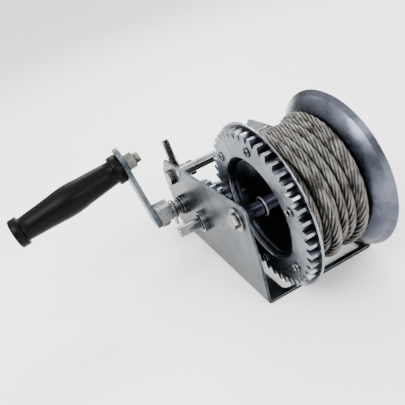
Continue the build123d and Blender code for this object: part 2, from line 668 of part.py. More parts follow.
# The pawl is drawn dropped in the ratchet, measured from the crank shaft, then lifted to its rest.
PIVOT = (PAWL_Y - CRANK_Y, PAWL_Z - SHAFT_Z)
TIP_GAP = 0.5
LEVER_RADIUS = LEVER_BREADTH / 2


def pawl_plane(x):
    """The plane of the pawl at its rest, seen along the drum axis; its origin is the pawl bolt."""
    lift = radians(PAWL_LIFT)
    return Plane(origin=(x, PAWL_Y, PAWL_Z), x_dir=(0, cos(lift), sin(lift)), z_dir=(1, 0, 0))


def lever_outline(breadth, start, length):
    """The lever, a straight arm with a round end that leans back from the pawl bolt."""
    lean = 90 - LEVER_LEAN - PAWL_LIFT
    with Locations(Rot(0, 0, lean) * Pos(start, 0)):
        Rectangle(length, breadth, align=(Align.MIN, Align.CENTER))
    with Locations(Rot(0, 0, lean) * Pos(start + length, 0)):
        Circle(breadth / 2)


with BuildPart() as pawl:
    with BuildSketch(pawl_plane(PAWL_X)) as cheek:
        Circle(PAWL_EYE_R)
        lever_outline(LEVER_BREADTH, 0, LEVER_LENGTH - LEVER_RADIUS)
    extrude(amount=PAWL_WIDTH)
    with BuildSketch(pawl_plane(PAWL_X + PAWL_WALL)) as channel:
        with Locations(Rot(0, 0, 90 - LEVER_LEAN - PAWL_LIFT) * Pos(PAWL_EYE_R, PAWL_WALL)):
            Rectangle(LEVER_LENGTH, LEVER_BREADTH, align=(Align.MIN, Align.CENTER))
    extrude(amount=PAWL_WIDTH - 2 * PAWL_WALL, mode=Mode.SUBTRACT)
    with BuildSketch(pawl_plane(PAWL_X + PAWL_WALL)) as nose:
        with BuildLine():
            wheel_to_bolt = Vector(*PIVOT)
            corners = [
                Vector(RATCHET_ROOT_R + 0.8, TIP_GAP),
                Vector(RATCHET_R - 0.3, 8.4),
                wheel_to_bolt + Vector(-PAWL_EYE_R * 0.8, -PAWL_EYE_R * 0.6),
                wheel_to_bolt,
                wheel_to_bolt + Vector(PAWL_EYE_R, 0),
                Vector(RATCHET_R + 5.0, 12.0),
                Vector(RATCHET_R + 0.5, TIP_GAP),
            ]
            Polyline([(corner - wheel_to_bolt) for corner in corners], close=True)
        make_face()
    extrude(amount=PAWL_WIDTH - 2 * PAWL_WALL)
    with BuildSketch(across(PAWL_X + PAWL_WIDTH - PAWL_WALL, PAWL_Y, PAWL_Z)) as wing:
        with BuildLine():
            Polyline((0, 0), (-9, -3), (-13.5, 3.5), (-12, 7.5), (2.5, 21), (5, 24), close=True)
        make_face()
    extrude(amount=PAWL_WALL)
    round_bar(PAWL_X - 1, PAWL_X + PAWL_WIDTH + 1, PAWL_Y, PAWL_Z, PAWL_BOLT_R + RUN_GAP, Mode.SUBTRACT)
pawl.part.label = "pawl"
export_step(pawl.part, "parts/pawl.step")

PAWL_GAP = 0.4
PAWL_SLEEVE_X = PAWL_X + PAWL_WIDTH + PAWL_GAP
PAWL_SLEEVE_LENGTH = 9.2
PAWL_SLEEVE_R = 7.5
PAWL_NUT_X = PAWL_SLEEVE_X + PAWL_SLEEVE_LENGTH
with BuildPart() as pawl_bolt:
    hexagon(across(LEFT_OUT - PAWL_HEAD_HEIGHT, PAWL_Y, PAWL_Z), PAWL_HEAD_FLATS, PAWL_HEAD_HEIGHT)
    chamfer(pawl_bolt.faces().sort_by(Axis.X)[0].edges(), 0.5)
    round_bar(LEFT_OUT, PAWL_NUT_X + PAWL_NUT_HEIGHT + 1, PAWL_Y, PAWL_Z, PAWL_BOLT_R)
pawl_bolt.part.label = "pawl_bolt"
export_step(pawl_bolt.part, "parts/pawl_bolt.step")

with BuildPart() as pawl_sleeve:
    tube(PAWL_SLEEVE_X, PAWL_NUT_X, PAWL_Y, PAWL_Z, PAWL_SLEEVE_R, PAWL_BOLT_R)
pawl_sleeve.part.label = "pawl_sleeve"
export_step(pawl_sleeve.part, "parts/pawl_sleeve.step")

with BuildPart() as pawl_nut:
    hexagon(across(PAWL_NUT_X, PAWL_Y, PAWL_Z), PAWL_HEAD_FLATS, PAWL_NUT_HEIGHT, PAWL_BOLT_R)
pawl_nut.part.label = "pawl_nut"
export_step(pawl_nut.part, "parts/pawl_nut.step")

with BuildPart() as pawl_spring:
    spring_wire_r = 0.7
    with BuildLine():
        coil = Helix(
            pitch=2.0,
            height=6.0,
            radius=PAWL_SLEEVE_R + spring_wire_r,
            center=(PAWL_SLEEVE_X + 1.4, PAWL_Y, PAWL_Z),
            direction=(1, 0, 0),
        )
    with BuildSketch(Plane(origin=coil @ 0, z_dir=coil % 0)):
        Circle(spring_wire_r)
    sweep()
pawl_spring.part.label = "pawl_spring"
export_step(pawl_spring.part, "parts/pawl_spring.step")

# ---------------------------------------------------------------- crank
LEAN_SIN = sin(radians(ARM_LEAN))
LEAN_COS = cos(radians(ARM_LEAN))
ARM_UP = Vector(-LEAN_SIN, 0, LEAN_COS)
GRIP_OUT = Vector(-LEAN_COS, 0, -LEAN_SIN)
ARM_ROOT = Vector(SOCKET_X - SOCKET_LENGTH, CRANK_Y, SHAFT_Z)
GRIP_ROOT = ARM_ROOT + ARM_UP * ARM_REACH
ARM_ROUND = ARM_REACH + ARM_TIP - ARM_WIDTH / 2


def arm_plane(foot, outward):
    """A plane across the grip axis: its own x runs up the arm, and it faces outwards."""
    return Plane(origin=foot + GRIP_OUT * outward, x_dir=ARM_UP, z_dir=GRIP_OUT)


with BuildPart() as crank_keeper:
    with BuildSketch(across(KEEPER_X - KEEPER_THICKNESS, CRANK_Y, SHAFT_Z)):
        Circle(WASHER_STACK_R)
        with Locations((0, -KEEPER_LOBE / 2)):
            SlotOverall(KEEPER_LOBE, KEEPER_BREADTH, rotation=90)
        Circle(SHAFT_R, mode=Mode.SUBTRACT)
    extrude(amount=KEEPER_THICKNESS)
crank_keeper.part.label = "crank_keeper"
export_step(crank_keeper.part, "parts/crank_keeper.step")

LOCK_X = SOCKET_X - SOCKET_LENGTH / 2
with BuildPart() as crank_socket:
    tube(SOCKET_X, KEEPER_X - KEEPER_THICKNESS, CRANK_Y, SHAFT_Z, SOCKET_NECK_R, SHAFT_R)
    with BuildSketch(across(SOCKET_X, CRANK_Y, SHAFT_Z)):
        with Locations((0, SOCKET_RISE)):
            RectangleRounded(SOCKET_SIZE, SOCKET_HEIGHT, SOCKET_CORNER)
        Circle(SHAFT_R, mode=Mode.SUBTRACT)
    extrude(amount=-SOCKET_LENGTH - ARM_THICKNESS)
    split(bisect_by=arm_plane(ARM_ROOT, -ARM_THICKNESS / 2), keep=Keep.BOTTOM)
    with BuildSketch(Plane.XY.offset(SHAFT_Z - SOCKET_HEIGHT)):
        with Locations((LOCK_X, CRANK_Y)):
            Circle(LOCK_BOLT_R)
    extrude(amount=SOCKET_HEIGHT, mode=Mode.SUBTRACT)
crank_socket.part.label = "crank_socket"
export_step(crank_socket.part, "parts/crank_socket.step")

with BuildPart() as crank_lock_bolt:
    socket_face_z = SHAFT_Z + SOCKET_RISE - SOCKET_HEIGHT / 2
    with BuildSketch(Plane.XY.offset(socket_face_z - HEAD_HEIGHT)):
        with Locations((LOCK_X, CRANK_Y)):
            RegularPolygon(LOCK_FLATS / 2, 6, major_radius=False)
    extrude(amount=HEAD_HEIGHT)
    chamfer(crank_lock_bolt.faces().sort_by(Axis.Z)[0].edges(), 0.5)
    with BuildSketch(Plane.XY.offset(socket_face_z)):
        with Locations((LOCK_X, CRANK_Y)):
            Circle(LOCK_BOLT_R)
    extrude(amount=SHAFT_Z - SHAFT_R - socket_face_z)
crank_lock_bolt.part.label = "crank_lock_bolt"
export_step(crank_lock_bolt.part, "parts/crank_lock_bolt.step")

with BuildPart() as crank_arm:
    with BuildSketch(arm_plane(ARM_ROOT, -ARM_THICKNESS / 2)):
        with Locations((-ARM_HEEL, 0)):
            Rectangle(ARM_HEEL + ARM_ROUND, ARM_WIDTH, align=(Align.MIN, Align.CENTER))
        with Locations((ARM_ROUND, 0)):
            Circle(ARM_WIDTH / 2)
        with Locations((ARM_REACH, 0)):
            Circle(GRIP_BOLT_R, mode=Mode.SUBTRACT)
    extrude(amount=ARM_THICKNESS)
    chamfer(crank_arm.faces().sort_by(Axis.X)[0].outer_wire().edges(), 0.6)
crank_arm.part.label = "crank_arm"
export_step(crank_arm.part, "parts/crank_arm.step")

# ---------------------------------------------------------------- grip
GRIP_FOOT = ARM_THICKNESS / 2 + GRIP_GAP
GRIP_END = GRIP_FOOT + GRIP_LENGTH
GRIP_PROFILE = Plane(origin=GRIP_ROOT, x_dir=GRIP_OUT, z_dir=(LEAN_SIN, 0, -LEAN_COS))
GRIP_AXIS = Axis(GRIP_ROOT, GRIP_OUT)

with BuildPart() as grip:
    with BuildSketch(GRIP_PROFILE):
        with BuildLine():
            foot = Line((GRIP_FOOT, GRIP_BOLT_R + RUN_GAP), (GRIP_FOOT, GRIP_COLLAR_R - 2))
            collar = Line((GRIP_FOOT + 2, GRIP_COLLAR_R), (GRIP_FOOT + GRIP_COLLAR, GRIP_COLLAR_R))
            Line(foot @ 1, collar @ 0)
            grip_middle = GRIP_FOOT + GRIP_LENGTH / 2
            half_belly = GRIP_BELLY_LENGTH / 2
            body = Polyline(
                collar @ 1,
                (GRIP_FOOT + GRIP_COLLAR + 0.8, GRIP_NECK_R),
                (grip_middle - half_belly, GRIP_BELLY_R),
                (grip_middle + half_belly, GRIP_BELLY_R),
                (GRIP_END - GRIP_COLLAR - 0.8, GRIP_NECK_R),
            )
            end_collar = Line((GRIP_END - GRIP_COLLAR, GRIP_COLLAR_R), (GRIP_END - 2, GRIP_COLLAR_R))
            Line(body @ 1, end_collar @ 0)
            end_face = Line((GRIP_END, GRIP_COLLAR_R - 2), (GRIP_END, GRIP_RECESS_R))
            Line(end_collar @ 1, end_face @ 0)
            recess = Line(end_face @ 1, (GRIP_END - GRIP_RECESS, GRIP_RECESS_R))
            floor = Line(recess @ 1, (GRIP_END - GRIP_RECESS, GRIP_BOLT_R + RUN_GAP))
            Line(floor @ 1, foot @ 0)
        make_face()
    revolve(axis=GRIP_AXIS)
grip.part.label = "grip"
export_step(grip.part, "parts/grip.step")

with BuildPart() as grip_bolt:
    head_foot = GRIP_END - GRIP_RECESS + GRIP_GAP
    thread_end = -ARM_THICKNESS / 2 - GRIP_NUT_HEIGHT - GRIP_THREAD
    with BuildSketch(arm_plane(GRIP_ROOT, thread_end)):
        Circle(GRIP_BOLT_R)
    extrude(amount=head_foot - thread_end)
    with BuildSketch(arm_plane(GRIP_ROOT, head_foot)):
        Circle(GRIP_RECESS_R - 1)
    extrude(amount=GRIP_HEAD)
grip_bolt.part.label = "grip_bolt"
export_step(grip_bolt.part, "parts/grip_bolt.step")

with BuildPart() as grip_nut:
    hexagon(
        arm_plane(GRIP_ROOT, -ARM_THICKNESS / 2 - GRIP_NUT_HEIGHT),
        GRIP_NUT_FLATS,
        GRIP_NUT_HEIGHT,
        GRIP_BOLT_R,
    )
grip_nut.part.label = "grip_nut"
export_step(grip_nut.part, "parts/grip_nut.step")
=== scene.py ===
# %% [markdown]
# # A boat trailer winch, finished piece by piece
# The winch arrives as a set of CAD parts that already have the right size and place.
# This lesson adds what CAD leaves out: the laid wire rope, welds, threads, the moulded grip,
# and the finishes of plated steel. Each cell makes one thing and says what it made.

import json
from math import cos, pi, radians, sin, tau

import bmesh
import bpy
import numpy as np
from mathutils import Matrix, Vector


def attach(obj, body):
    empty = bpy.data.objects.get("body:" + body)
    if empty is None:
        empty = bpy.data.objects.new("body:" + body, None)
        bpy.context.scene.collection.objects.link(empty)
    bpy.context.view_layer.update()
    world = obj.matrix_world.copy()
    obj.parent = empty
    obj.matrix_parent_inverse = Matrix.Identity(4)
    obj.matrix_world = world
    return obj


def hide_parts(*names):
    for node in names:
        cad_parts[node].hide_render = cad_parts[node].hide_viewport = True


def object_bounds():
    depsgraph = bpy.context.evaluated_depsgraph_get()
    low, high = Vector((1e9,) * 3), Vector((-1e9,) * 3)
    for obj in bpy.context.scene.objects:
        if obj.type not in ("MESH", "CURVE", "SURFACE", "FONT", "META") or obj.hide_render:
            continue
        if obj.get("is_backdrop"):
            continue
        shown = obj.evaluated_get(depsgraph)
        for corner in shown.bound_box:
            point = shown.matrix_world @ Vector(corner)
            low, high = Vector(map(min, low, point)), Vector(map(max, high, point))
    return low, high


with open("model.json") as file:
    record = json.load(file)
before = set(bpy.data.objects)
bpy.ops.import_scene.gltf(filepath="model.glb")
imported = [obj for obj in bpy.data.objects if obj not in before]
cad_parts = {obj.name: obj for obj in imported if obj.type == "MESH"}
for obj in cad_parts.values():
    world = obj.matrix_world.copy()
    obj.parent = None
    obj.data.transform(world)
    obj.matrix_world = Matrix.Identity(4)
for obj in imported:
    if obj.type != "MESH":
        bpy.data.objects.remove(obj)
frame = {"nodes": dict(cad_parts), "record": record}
cad_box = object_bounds()
scene = bpy.context.scene
nodes = frame["nodes"]
slot_of = {part["node"]: part["material_slot"] for part in frame["record"]["subparts"]}
MM = 0.001
print("CAD parts:", len(nodes))

# %% [markdown]
# ## The camera
# A product picture is taken a little from above, with the crank side in front. A camera can be
# aimed with a Track To constraint, or given its three axes outright. The axes are given here,
# because they also fix the roll. A small shift keeps the winch in the middle of the frame.

# %% Camera
IMAGE = 405
EYE = Vector((-202.7, -466.4, 338.0)) * MM
EYE_RIGHT = Vector((0.8754, -0.3728, -0.3078))
EYE_UP = Vector((0.4315, 0.3157, 0.8450))
camera_data = bpy.data.cameras.new("camera")
camera = bpy.data.objects.new("camera", camera_data)
scene.collection.objects.link(camera)
eye_turn = Matrix((EYE_RIGHT, EYE_UP, EYE_RIGHT.cross(EYE_UP))).transposed()
camera.matrix_world = Matrix.Translation(EYE) @ eye_turn.to_4x4()
camera_data.sensor_width = 36
camera_data.lens = 45.67
camera_data.shift_x = 30.0 / IMAGE
camera_data.shift_y = -13.3 / IMAGE
scene.camera = camera
print("camera lens:", camera_data.lens, "mm")

# %% [markdown]
# ## Two small helpers
# Every piece ends as a mesh on an object that sits at the origin, with its place in its mesh. The
# bpy.ops primitives would do, but they depend on what is selected. Plain functions don't.


# %% Put a mesh in the scene, and shade it
def put(name, mesh):
    """An object at the origin that shows this mesh."""
    thing = bpy.data.objects.new(name, mesh)
    scene.collection.objects.link(thing)
    return thing


def soften(mesh, angle=40):
    """Shade the mesh smooth, with sharp edges where its faces turn by more than the angle."""
    mesh.polygons.foreach_set("use_smooth", [True] * len(mesh.polygons))
    mesh.set_sharp_from_angle(angle=radians(angle))
    return mesh


print("helpers: put, soften")

# %% [markdown]
# ## A swept tube
# The rope, its strands and the spring are all a round section that follows points. A curve with a
# bevel would sweep it too, but arrays are quick for thousands of rings, and give the UVs that the
# wires of the rope are drawn along.


# %% Sweep a round section along points
def tube_arrays(points, side, other, radius, sides, start):
    """Corners, faces and UVs of a tube; side and other are unit vectors across it at each point."""
    count = len(points)
    turn = np.arange(sides) * tau / sides
    across, up = np.cos(turn)[None, :, None], np.sin(turn)[None, :, None]
    ring = side[:, None, :] * across + other[:, None, :] * up
    corners = (points[:, None, :] + ring * radius).reshape(-1, 3)
    first = np.arange(count - 1)[:, None] * sides
    step = np.arange(sides)[None, :]
    after = (step + 1) % sides
    behind = first + sides
    faces = np.stack([first + step, first + after, behind + after, behind + step], axis=-1)
    run = np.concatenate([[0], np.cumsum(np.linalg.norm(np.diff(points, axis=0), axis=1))]) + start
    u0 = np.broadcast_to(run[:-1, None], (count - 1, sides))
    u1 = np.broadcast_to(run[1:, None], (count - 1, sides))
    v0 = np.broadcast_to(step / sides, (count - 1, sides))
    v1 = v0 + 1 / sides
    uv = np.stack([u0, v0, u0, v1, u1, v1, u1, v0], axis=-1).reshape(-1, 2)
    return corners, faces.reshape(-1, 4), uv


def mesh_of(name, parts):
    """One mesh from several sets of corners, faces and UVs."""
    shift = np.cumsum([0] + [len(part[0]) for part in parts])
    mesh = bpy.data.meshes.new(name)
    corners = np.concatenate([part[0] for part in parts])
    faces = np.concatenate([part[1] + shift[i] for i, part in enumerate(parts)])
    mesh.from_pydata(corners.tolist(), [], faces.tolist())
    layer = mesh.uv_layers.new(name="along")
    layer.data.foreach_set("uv", np.concatenate([part[2] for part in parts]).ravel())
    return soften(mesh, 60)


print("helpers: tube_arrays, mesh_of")

# %% [markdown]
# ## The rope's route
# A wire rope lies on the drum in layers. Each layer runs from one flange to the other and the
# next one comes back on top of it. The inner end goes through a hole in the dished flange into a
# clamp, and the free end has a swaged ferrule. The line could be drawn by hand, but a winding
# follows a rule, so a loop lays sixteen points for each turn. A spline of order 3 cuts a little
# inside its points, so their radius is made larger by the cosine of half a step.

# %% Where the rope goes
AXLE_Y, AXLE_Z = -92.0, 94.0
AXLE = Vector((0, AXLE_Y, AXLE_Z)) * MM
STEPS = 16
LAYER_R = [32.0, 40.6, 49.2, 57.8]
LAYER_TURNS = [5, 6, 6, 6]
LEFT_X, RIGHT_X = -26.4, 26.6
TAIL_R, TAIL_TURN = 38.0, 200.0


def beside_axle(x, radius, turn):
    """A point by its place along the axle, its distance from it, and its turn in degrees."""
    return AXLE + Vector((x, radius * cos(radians(turn)), radius * sin(radians(turn)))) * MM


def ease(t):
    """Rise smoothly from 0 to 1."""
    t = min(max(t, 0.0), 1.0)
    return t * t * (3 - 2 * t)


def between(a, b, t):
    return a + (b - a) * t


# %% [markdown]
# ### The inner end
# The rope comes out of its clamp, through the dished flange, and bends round to lie on the barrel.
# A loop can't give this stretch, because no rule does, so its seven points are given one by one.

# %% The rope's inner end
route = [beside_axle(46, TAIL_R, TAIL_TURN), beside_axle(38, TAIL_R, TAIL_TURN)]
route += [beside_axle(30, TAIL_R, 201), beside_axle(23, 37.2, 211), beside_axle(18, 35.4, 228)]
route += [beside_axle(15.5, 33.6, 250), beside_axle(14, 32.8, 273)]
print("inner end points:", len(route))

# %% [markdown]
# ### The layers
# Each turn climbs onto the layer below at the flange. The outer layer is the one that is seen, so
# it alone is a little uneven: it steps across once a turn, wanders, and lifts here and there.

# %% The layers of the winding
swell = 1 / cos(pi / STEPS)
OUTER_LAYER = len(LAYER_R) - 1
STEP_FROM, STEP_OVER, STEP_SHARE = 40, 190, 0.35
turn = 292.5
radius = LAYER_R[0]
ends = [(14.0, LEFT_X), (LEFT_X, RIGHT_X), (RIGHT_X, LEFT_X), (LEFT_X, RIGHT_X)]
for layer, ((from_x, to_x), turns) in enumerate(zip(ends, LAYER_TURNS)):
    below = radius
    radius = LAYER_R[layer]
    if layer == OUTER_LAYER:
        outer_start = len(route)
        from_x += 0.4
    for step in range(turns * STEPS):
        climb = ease(step / 7)
        along = step / (turns * STEPS)
        wander = lift = 0.0
        if layer == OUTER_LAYER:
            round_drum = (turn - STEP_FROM) % 360
            crossing = ease(round_drum / STEP_OVER) - round_drum / 360
            along = (step / STEPS + STEP_SHARE * crossing) / turns
            wander = 0.45 * sin(radians(turn) * 0.83) + 0.3 * sin(radians(turn) * 0.37)
            lift = 0.9 * abs(sin(radians(turn) * 0.29 + 0.4))
        x = min(max(between(from_x, to_x, along) + wander, LEFT_X), RIGHT_X + 1.5)
        route.append(beside_axle(x, (between(below, radius, climb) + lift) * swell, turn))
        turn += 360 / STEPS
print("points so far:", len(route), "turn now:", turn % 360)

# %% [markdown]
# ### The crossing turns
# The last of the rope is rarely laid neatly. It climbs beside the dished flange, runs across to the
# gear, and comes back over the other turns to its ferrule. A few chosen stages say where it is, and
# the loop fills in the points between them.

# %% The crossing turns: degrees round, place along the axle, and distance from it
OVER = [(0, 27.6, 58.8), (45, 28.0, 61.4), (140, 27.8, 62.2), (215, 27.0, 61.8), (290, 25.5, 62.6)]
OVER += [(340, 18, 64.8), (400, 3, 65.4), (460, -14, 65.4), (500, -21.5, 65.4), (540, -19, 65.6)]
OVER += [(580, -13, 65.6), (620, -6, 65.4), (660, -1, 65.2), (720, 1.5, 65.2), (800, 1, 65.6)]
OVER_TURNS, OVER_X, OVER_R = np.array(OVER).T
OVER_LENGTH = 840
FERRULE_TURN = 20
turn_from = turn - 8
rest_turn = turn_from
while rest_turn < turn_from + OVER_LENGTH:
    at = rest_turn - turn_from
    x = float(np.interp(at, OVER_TURNS, OVER_X))
    radius = float(np.interp(at, OVER_TURNS, OVER_R))
    route.append(beside_axle(x, radius * swell, rest_turn))
    rest_turn += 360 / STEPS
    if at > 660 and (rest_turn - FERRULE_TURN) % 360 > 325:
        break
print("points so far:", len(route))

# %% [markdown]
# ### The free end
# The rope goes straight through its ferrule, so its last points lie on the ferrule's own line.

# %% Into the ferrule
FERRULE_R = 68.3
tilt = radians(FERRULE_TURN)
ferrule_out = Vector((0, cos(tilt), sin(tilt)))
ferrule_along = Vector((0, -sin(tilt), cos(tilt)))
ferrule_centre = AXLE + ferrule_out * FERRULE_R * MM
for along in (-15, -4, 8, 13):
    route.append(ferrule_centre + ferrule_along * along * MM)
print("route points:", len(route))

# %% [markdown]
# ### One smooth line
# The points are only a guide. A NURBS spline of order 3 runs smoothly between them, and reading its
# line back gives the strands something to follow. The order is set after the points are added,
# because set before, it stays at 2, which is straight runs.

# %% Read the route's smooth line back from a spline
curve = bpy.data.curves.new("rope_route", "CURVE")
curve.dimensions = "3D"
curve.resolution_u = 6
spline = curve.splines.new("NURBS")
spline.points.add(len(route) - 1)
for point, place in zip(spline.points, route):
    point.co = (*place, 1)
spline.order_u = 3
spline.use_endpoint_u = True
guide = put("rope_guide", curve)
line_mesh = bpy.data.meshes.new_from_object(guide)
line = np.array([vertex.co[:] for vertex in line_mesh.vertices])
bpy.data.objects.remove(guide)
steps = np.linalg.norm(np.diff(line, axis=0), axis=1)
run = np.concatenate([[0], np.cumsum(steps)])
rope_length = float(run[-1])
print("rope length:", round(rope_length, 3), "m")

# %% [markdown]
# ## The laid strands
# The rope has six strands, each twisted from fine wires, laid around a core. Modelling every wire
# would need millions of faces, so the strands are real tubes only where the rope can be seen, and
# the single wires are drawn by the material along the strands' own UVs. The inner layers are a
# plain core tube, which also carries the rope's length.

# %% Lay the strands
STRANDS = 6
LAY = 50.0 * MM
STRAND_AT = 2.62 * MM
STRAND_R = 1.42 * MM


def sampled(from_run, to_run, step):
    """Points every step along the line, with two unit vectors across it."""
    at = np.linspace(from_run, to_run, max(int((to_run - from_run) / step), 3))
    points = np.stack([np.interp(at, run, line[:, i]) for i in range(3)], axis=1)
    ahead = np.gradient(points, axis=0)
    ahead /= np.linalg.norm(ahead, axis=1)[:, None]
    out = points - np.array(AXLE)
    out[:, 0] = 0
    out -= ahead * np.sum(out * ahead, axis=1)[:, None]
    out /= np.linalg.norm(out, axis=1)[:, None]
    return at, points, out, np.cross(ahead, out)


def strands(from_run, to_run):
    """The six strands along a stretch of the line, each twisted round it."""
    at, points, out, side = sampled(from_run, to_run, 2.6 * MM)
    made = []
    for strand in range(STRANDS):
        twist = (tau * at / LAY + tau * strand / STRANDS)[:, None]
        lift = out * np.cos(twist) + side * np.sin(twist)
        over_side = side * np.cos(twist) - out * np.sin(twist)
        made.append(tube_arrays(points + lift * STRAND_AT, lift, over_side, STRAND_R, 8, from_run))
    return made


print("strands:", STRANDS, "with a lay of", round(LAY / MM), "mm")

# %% [markdown]
# ### Core and strands together
# Strands are made for the stretch at the clamp and for the outer layer. The rope's length is read
# from the smooth line itself, so it is the real one however the surface is made.

# %% Make the rope
CORE_R = 2.9 * MM
CLAMP_RUN, OVERLAP_RUN = 0.05, 0.1
gap = np.linalg.norm(line - np.array(route[outer_start]), axis=1)
outer_run = float(run[int(np.argmin(gap))])
core = tube_arrays(*sampled(0, rope_length, 5 * MM)[1:], CORE_R, 8, 0)
laid = strands(0, CLAMP_RUN) + strands(outer_run - OVERLAP_RUN, rope_length)
rope = put("wire_rope", mesh_of("wire_rope", [core] + laid))
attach(rope, "drum")
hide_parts("rope_winding", "rope_tail")
path_at = sampled(0, rope_length, 4 * MM)[1]
print("rope faces:", len(rope.data.polygons))

# %% [markdown]
# ## Finishes
# Nearly everything here is steel with a thin bright coat of zinc. Real plating isn't even: it is
# cloudy and a little brushed. Its edges are painted brighter, partly as rubbed wear and partly as a
# painted highlight, and its crevices are painted darker as shade. One shader group makes all of this,
# so every plated piece shares it and differs only in its two tones and its direction of brushing.
# The wires of the rope need their own group, which draws slanted lines along the strands.


# %% Helpers for node trees
def add(tree, kind, inputs=(), **settings):
    """A node with its settings; an input is given a value, or the socket that feeds it."""
    made = tree.nodes.new(kind)
    for key, value in settings.items():
        setattr(made, key, value)
    for key, value in dict(inputs).items():
        if isinstance(value, bpy.types.NodeSocket):
            tree.links.new(value, made.inputs[key])
        else:
            made.inputs[key].default_value = value
    return made


def sockets(name, kind, inputs, outputs):
    """A node group with these sockets, and its input and output nodes."""
    tree = bpy.data.node_groups.new(name, kind)
    for label, socket, value in inputs:
        made = tree.interface.new_socket(label, in_out="INPUT", socket_type=socket)
        if value is not None:
            made.default_value = value
    for label, socket in outputs:
        tree.interface.new_socket(label, in_out="OUTPUT", socket_type=socket)
    return tree, tree.nodes.new("NodeGroupInput").outputs, tree.nodes.new("NodeGroupOutput").inputs


def maths(tree, operation, first, second=0.0, clamp=False):
    inputs = {0: first, 1: second}
    return add(tree, "ShaderNodeMath", inputs, operation=operation, use_clamp=clamp).outputs[0]


def blend(tree, factor, first, second, kind="MIX"):
    inputs = {0: factor, 6: first, 7: second}
    return add(tree, "ShaderNodeMix", inputs, data_type="RGBA", blend_type=kind).outputs[2]


def spread(tree, value, low, high, to_low, to_high):
    inputs = {0: value, 1: low, 2: high, 3: to_low, 4: to_high}
    return add(tree, "ShaderNodeMapRange", inputs).outputs[0]


print("helpers: add, sockets, maths, blend, spread")

# %% [markdown]
# ### The plated steel group
# Cloudy tone comes from noise, the fine grain of the zinc from Voronoi cells, and brushing from
# noise that is stretched along one way. A Bevel node finds the edges, which get rubbed wear and a
# painted highlight, and ambient occlusion finds the crevices, which get painted shade. An image
# texture could hold all this, but the nodes need no unwrapped UVs.

# %% Plated steel: its sockets and patterns
plated, given, out = sockets(
    "plated steel",
    "ShaderNodeTree",
    [
        ("Dark", "NodeSocketColor", (0.3, 0.32, 0.36, 1)),
        ("Light", "NodeSocketColor", (0.6, 0.63, 0.68, 1)),
        ("Smooth", "NodeSocketFloat", 0.2),
        ("Rough", "NodeSocketFloat", 0.4),
        ("Brushing", "NodeSocketVector", (60, 700, 700)),
    ],
    [("Color", "NodeSocketColor"), ("Roughness", "NodeSocketFloat"), ("Normal", "NodeSocketVector")],
)
place = add(plated, "ShaderNodeTexCoord").outputs["Object"]
inputs = {"Vector": place, "Scale": 38, "Detail": 4, "Roughness": 0.6}
cloud = add(plated, "ShaderNodeTexNoise", inputs).outputs[0]
spangle = add(plated, "ShaderNodeTexVoronoi", {"Vector": place, "Scale": 260}).outputs["Color"]
spangle = add(plated, "ShaderNodeSeparateColor", {0: spangle}).outputs[0]
inputs = {0: place, 1: given["Brushing"]}
stretched = add(plated, "ShaderNodeVectorMath", inputs, operation="MULTIPLY").outputs[0]
brushed = add(plated, "ShaderNodeTexNoise", {"Vector": stretched, "Scale": 1, "Detail": 2}).outputs[0]
rounded = add(plated, "ShaderNodeBevel", {"Radius": 0.0007}, samples=4).outputs[0]
flat = add(plated, "ShaderNodeNewGeometry").outputs["Normal"]
inputs = {0: rounded, 1: flat}
square = add(plated, "ShaderNodeVectorMath", inputs, operation="DOT_PRODUCT").outputs["Value"]
edge_wear_and_highlight = spread(plated, square, 0.995, 0.86, 0.0, 1.0)
print("patterns: cloud, spangle, brushing, edge")

# %% Plated steel: its colour
flecks = maths(plated, "MULTIPLY", spangle, 0.15)
tone = maths(plated, "ADD", spread(plated, cloud, 0.35, 0.65, 0, 0.85), flecks)
colour = blend(plated, tone, given["Dark"], given["Light"])
# Rubbed wear and painted highlight: edges are blended towards a light grey.
colour = blend(plated, maths(plated, "MULTIPLY", edge_wear_and_highlight, 0.7), colour, (0.55, 0.56, 0.58, 1))
# Painted shade: ambient occlusion darkens the colour in crevices and where parts meet.
painted_crevice_shade = add(plated, "ShaderNodeAmbientOcclusion", {"Distance": 0.005}, samples=6).outputs["AO"]
painted_crevice_shade = spread(plated, painted_crevice_shade, 0.1, 0.85, 0.25, 1.0)
grey = add(plated, "ShaderNodeCombineColor", {0: painted_crevice_shade, 1: painted_crevice_shade, 2: painted_crevice_shade}).outputs[0]
plated.links.new(blend(plated, 1.0, colour, grey, "MULTIPLY"), out["Color"])
print("colour nodes so far:", len(plated.nodes))

# %% Plated steel: its roughness and relief
uneven = maths(plated, "ADD", maths(plated, "MULTIPLY", brushed, 0.6), maths(plated, "MULTIPLY", cloud, 0.4))
roughness = spread(plated, uneven, 0.3, 0.7, given["Smooth"], given["Rough"])
plated.links.new(roughness, out["Roughness"])
height = maths(plated, "ADD", brushed, maths(plated, "MULTIPLY", spangle, 0.5))
inputs = {"Strength": 0.12, "Distance": 0.0002, "Height": height, "Normal": rounded}
dent = add(plated, "ShaderNodeBump", inputs)
plated.links.new(dent.outputs[0], out["Normal"])
print("plated steel nodes:", len(plated.nodes))
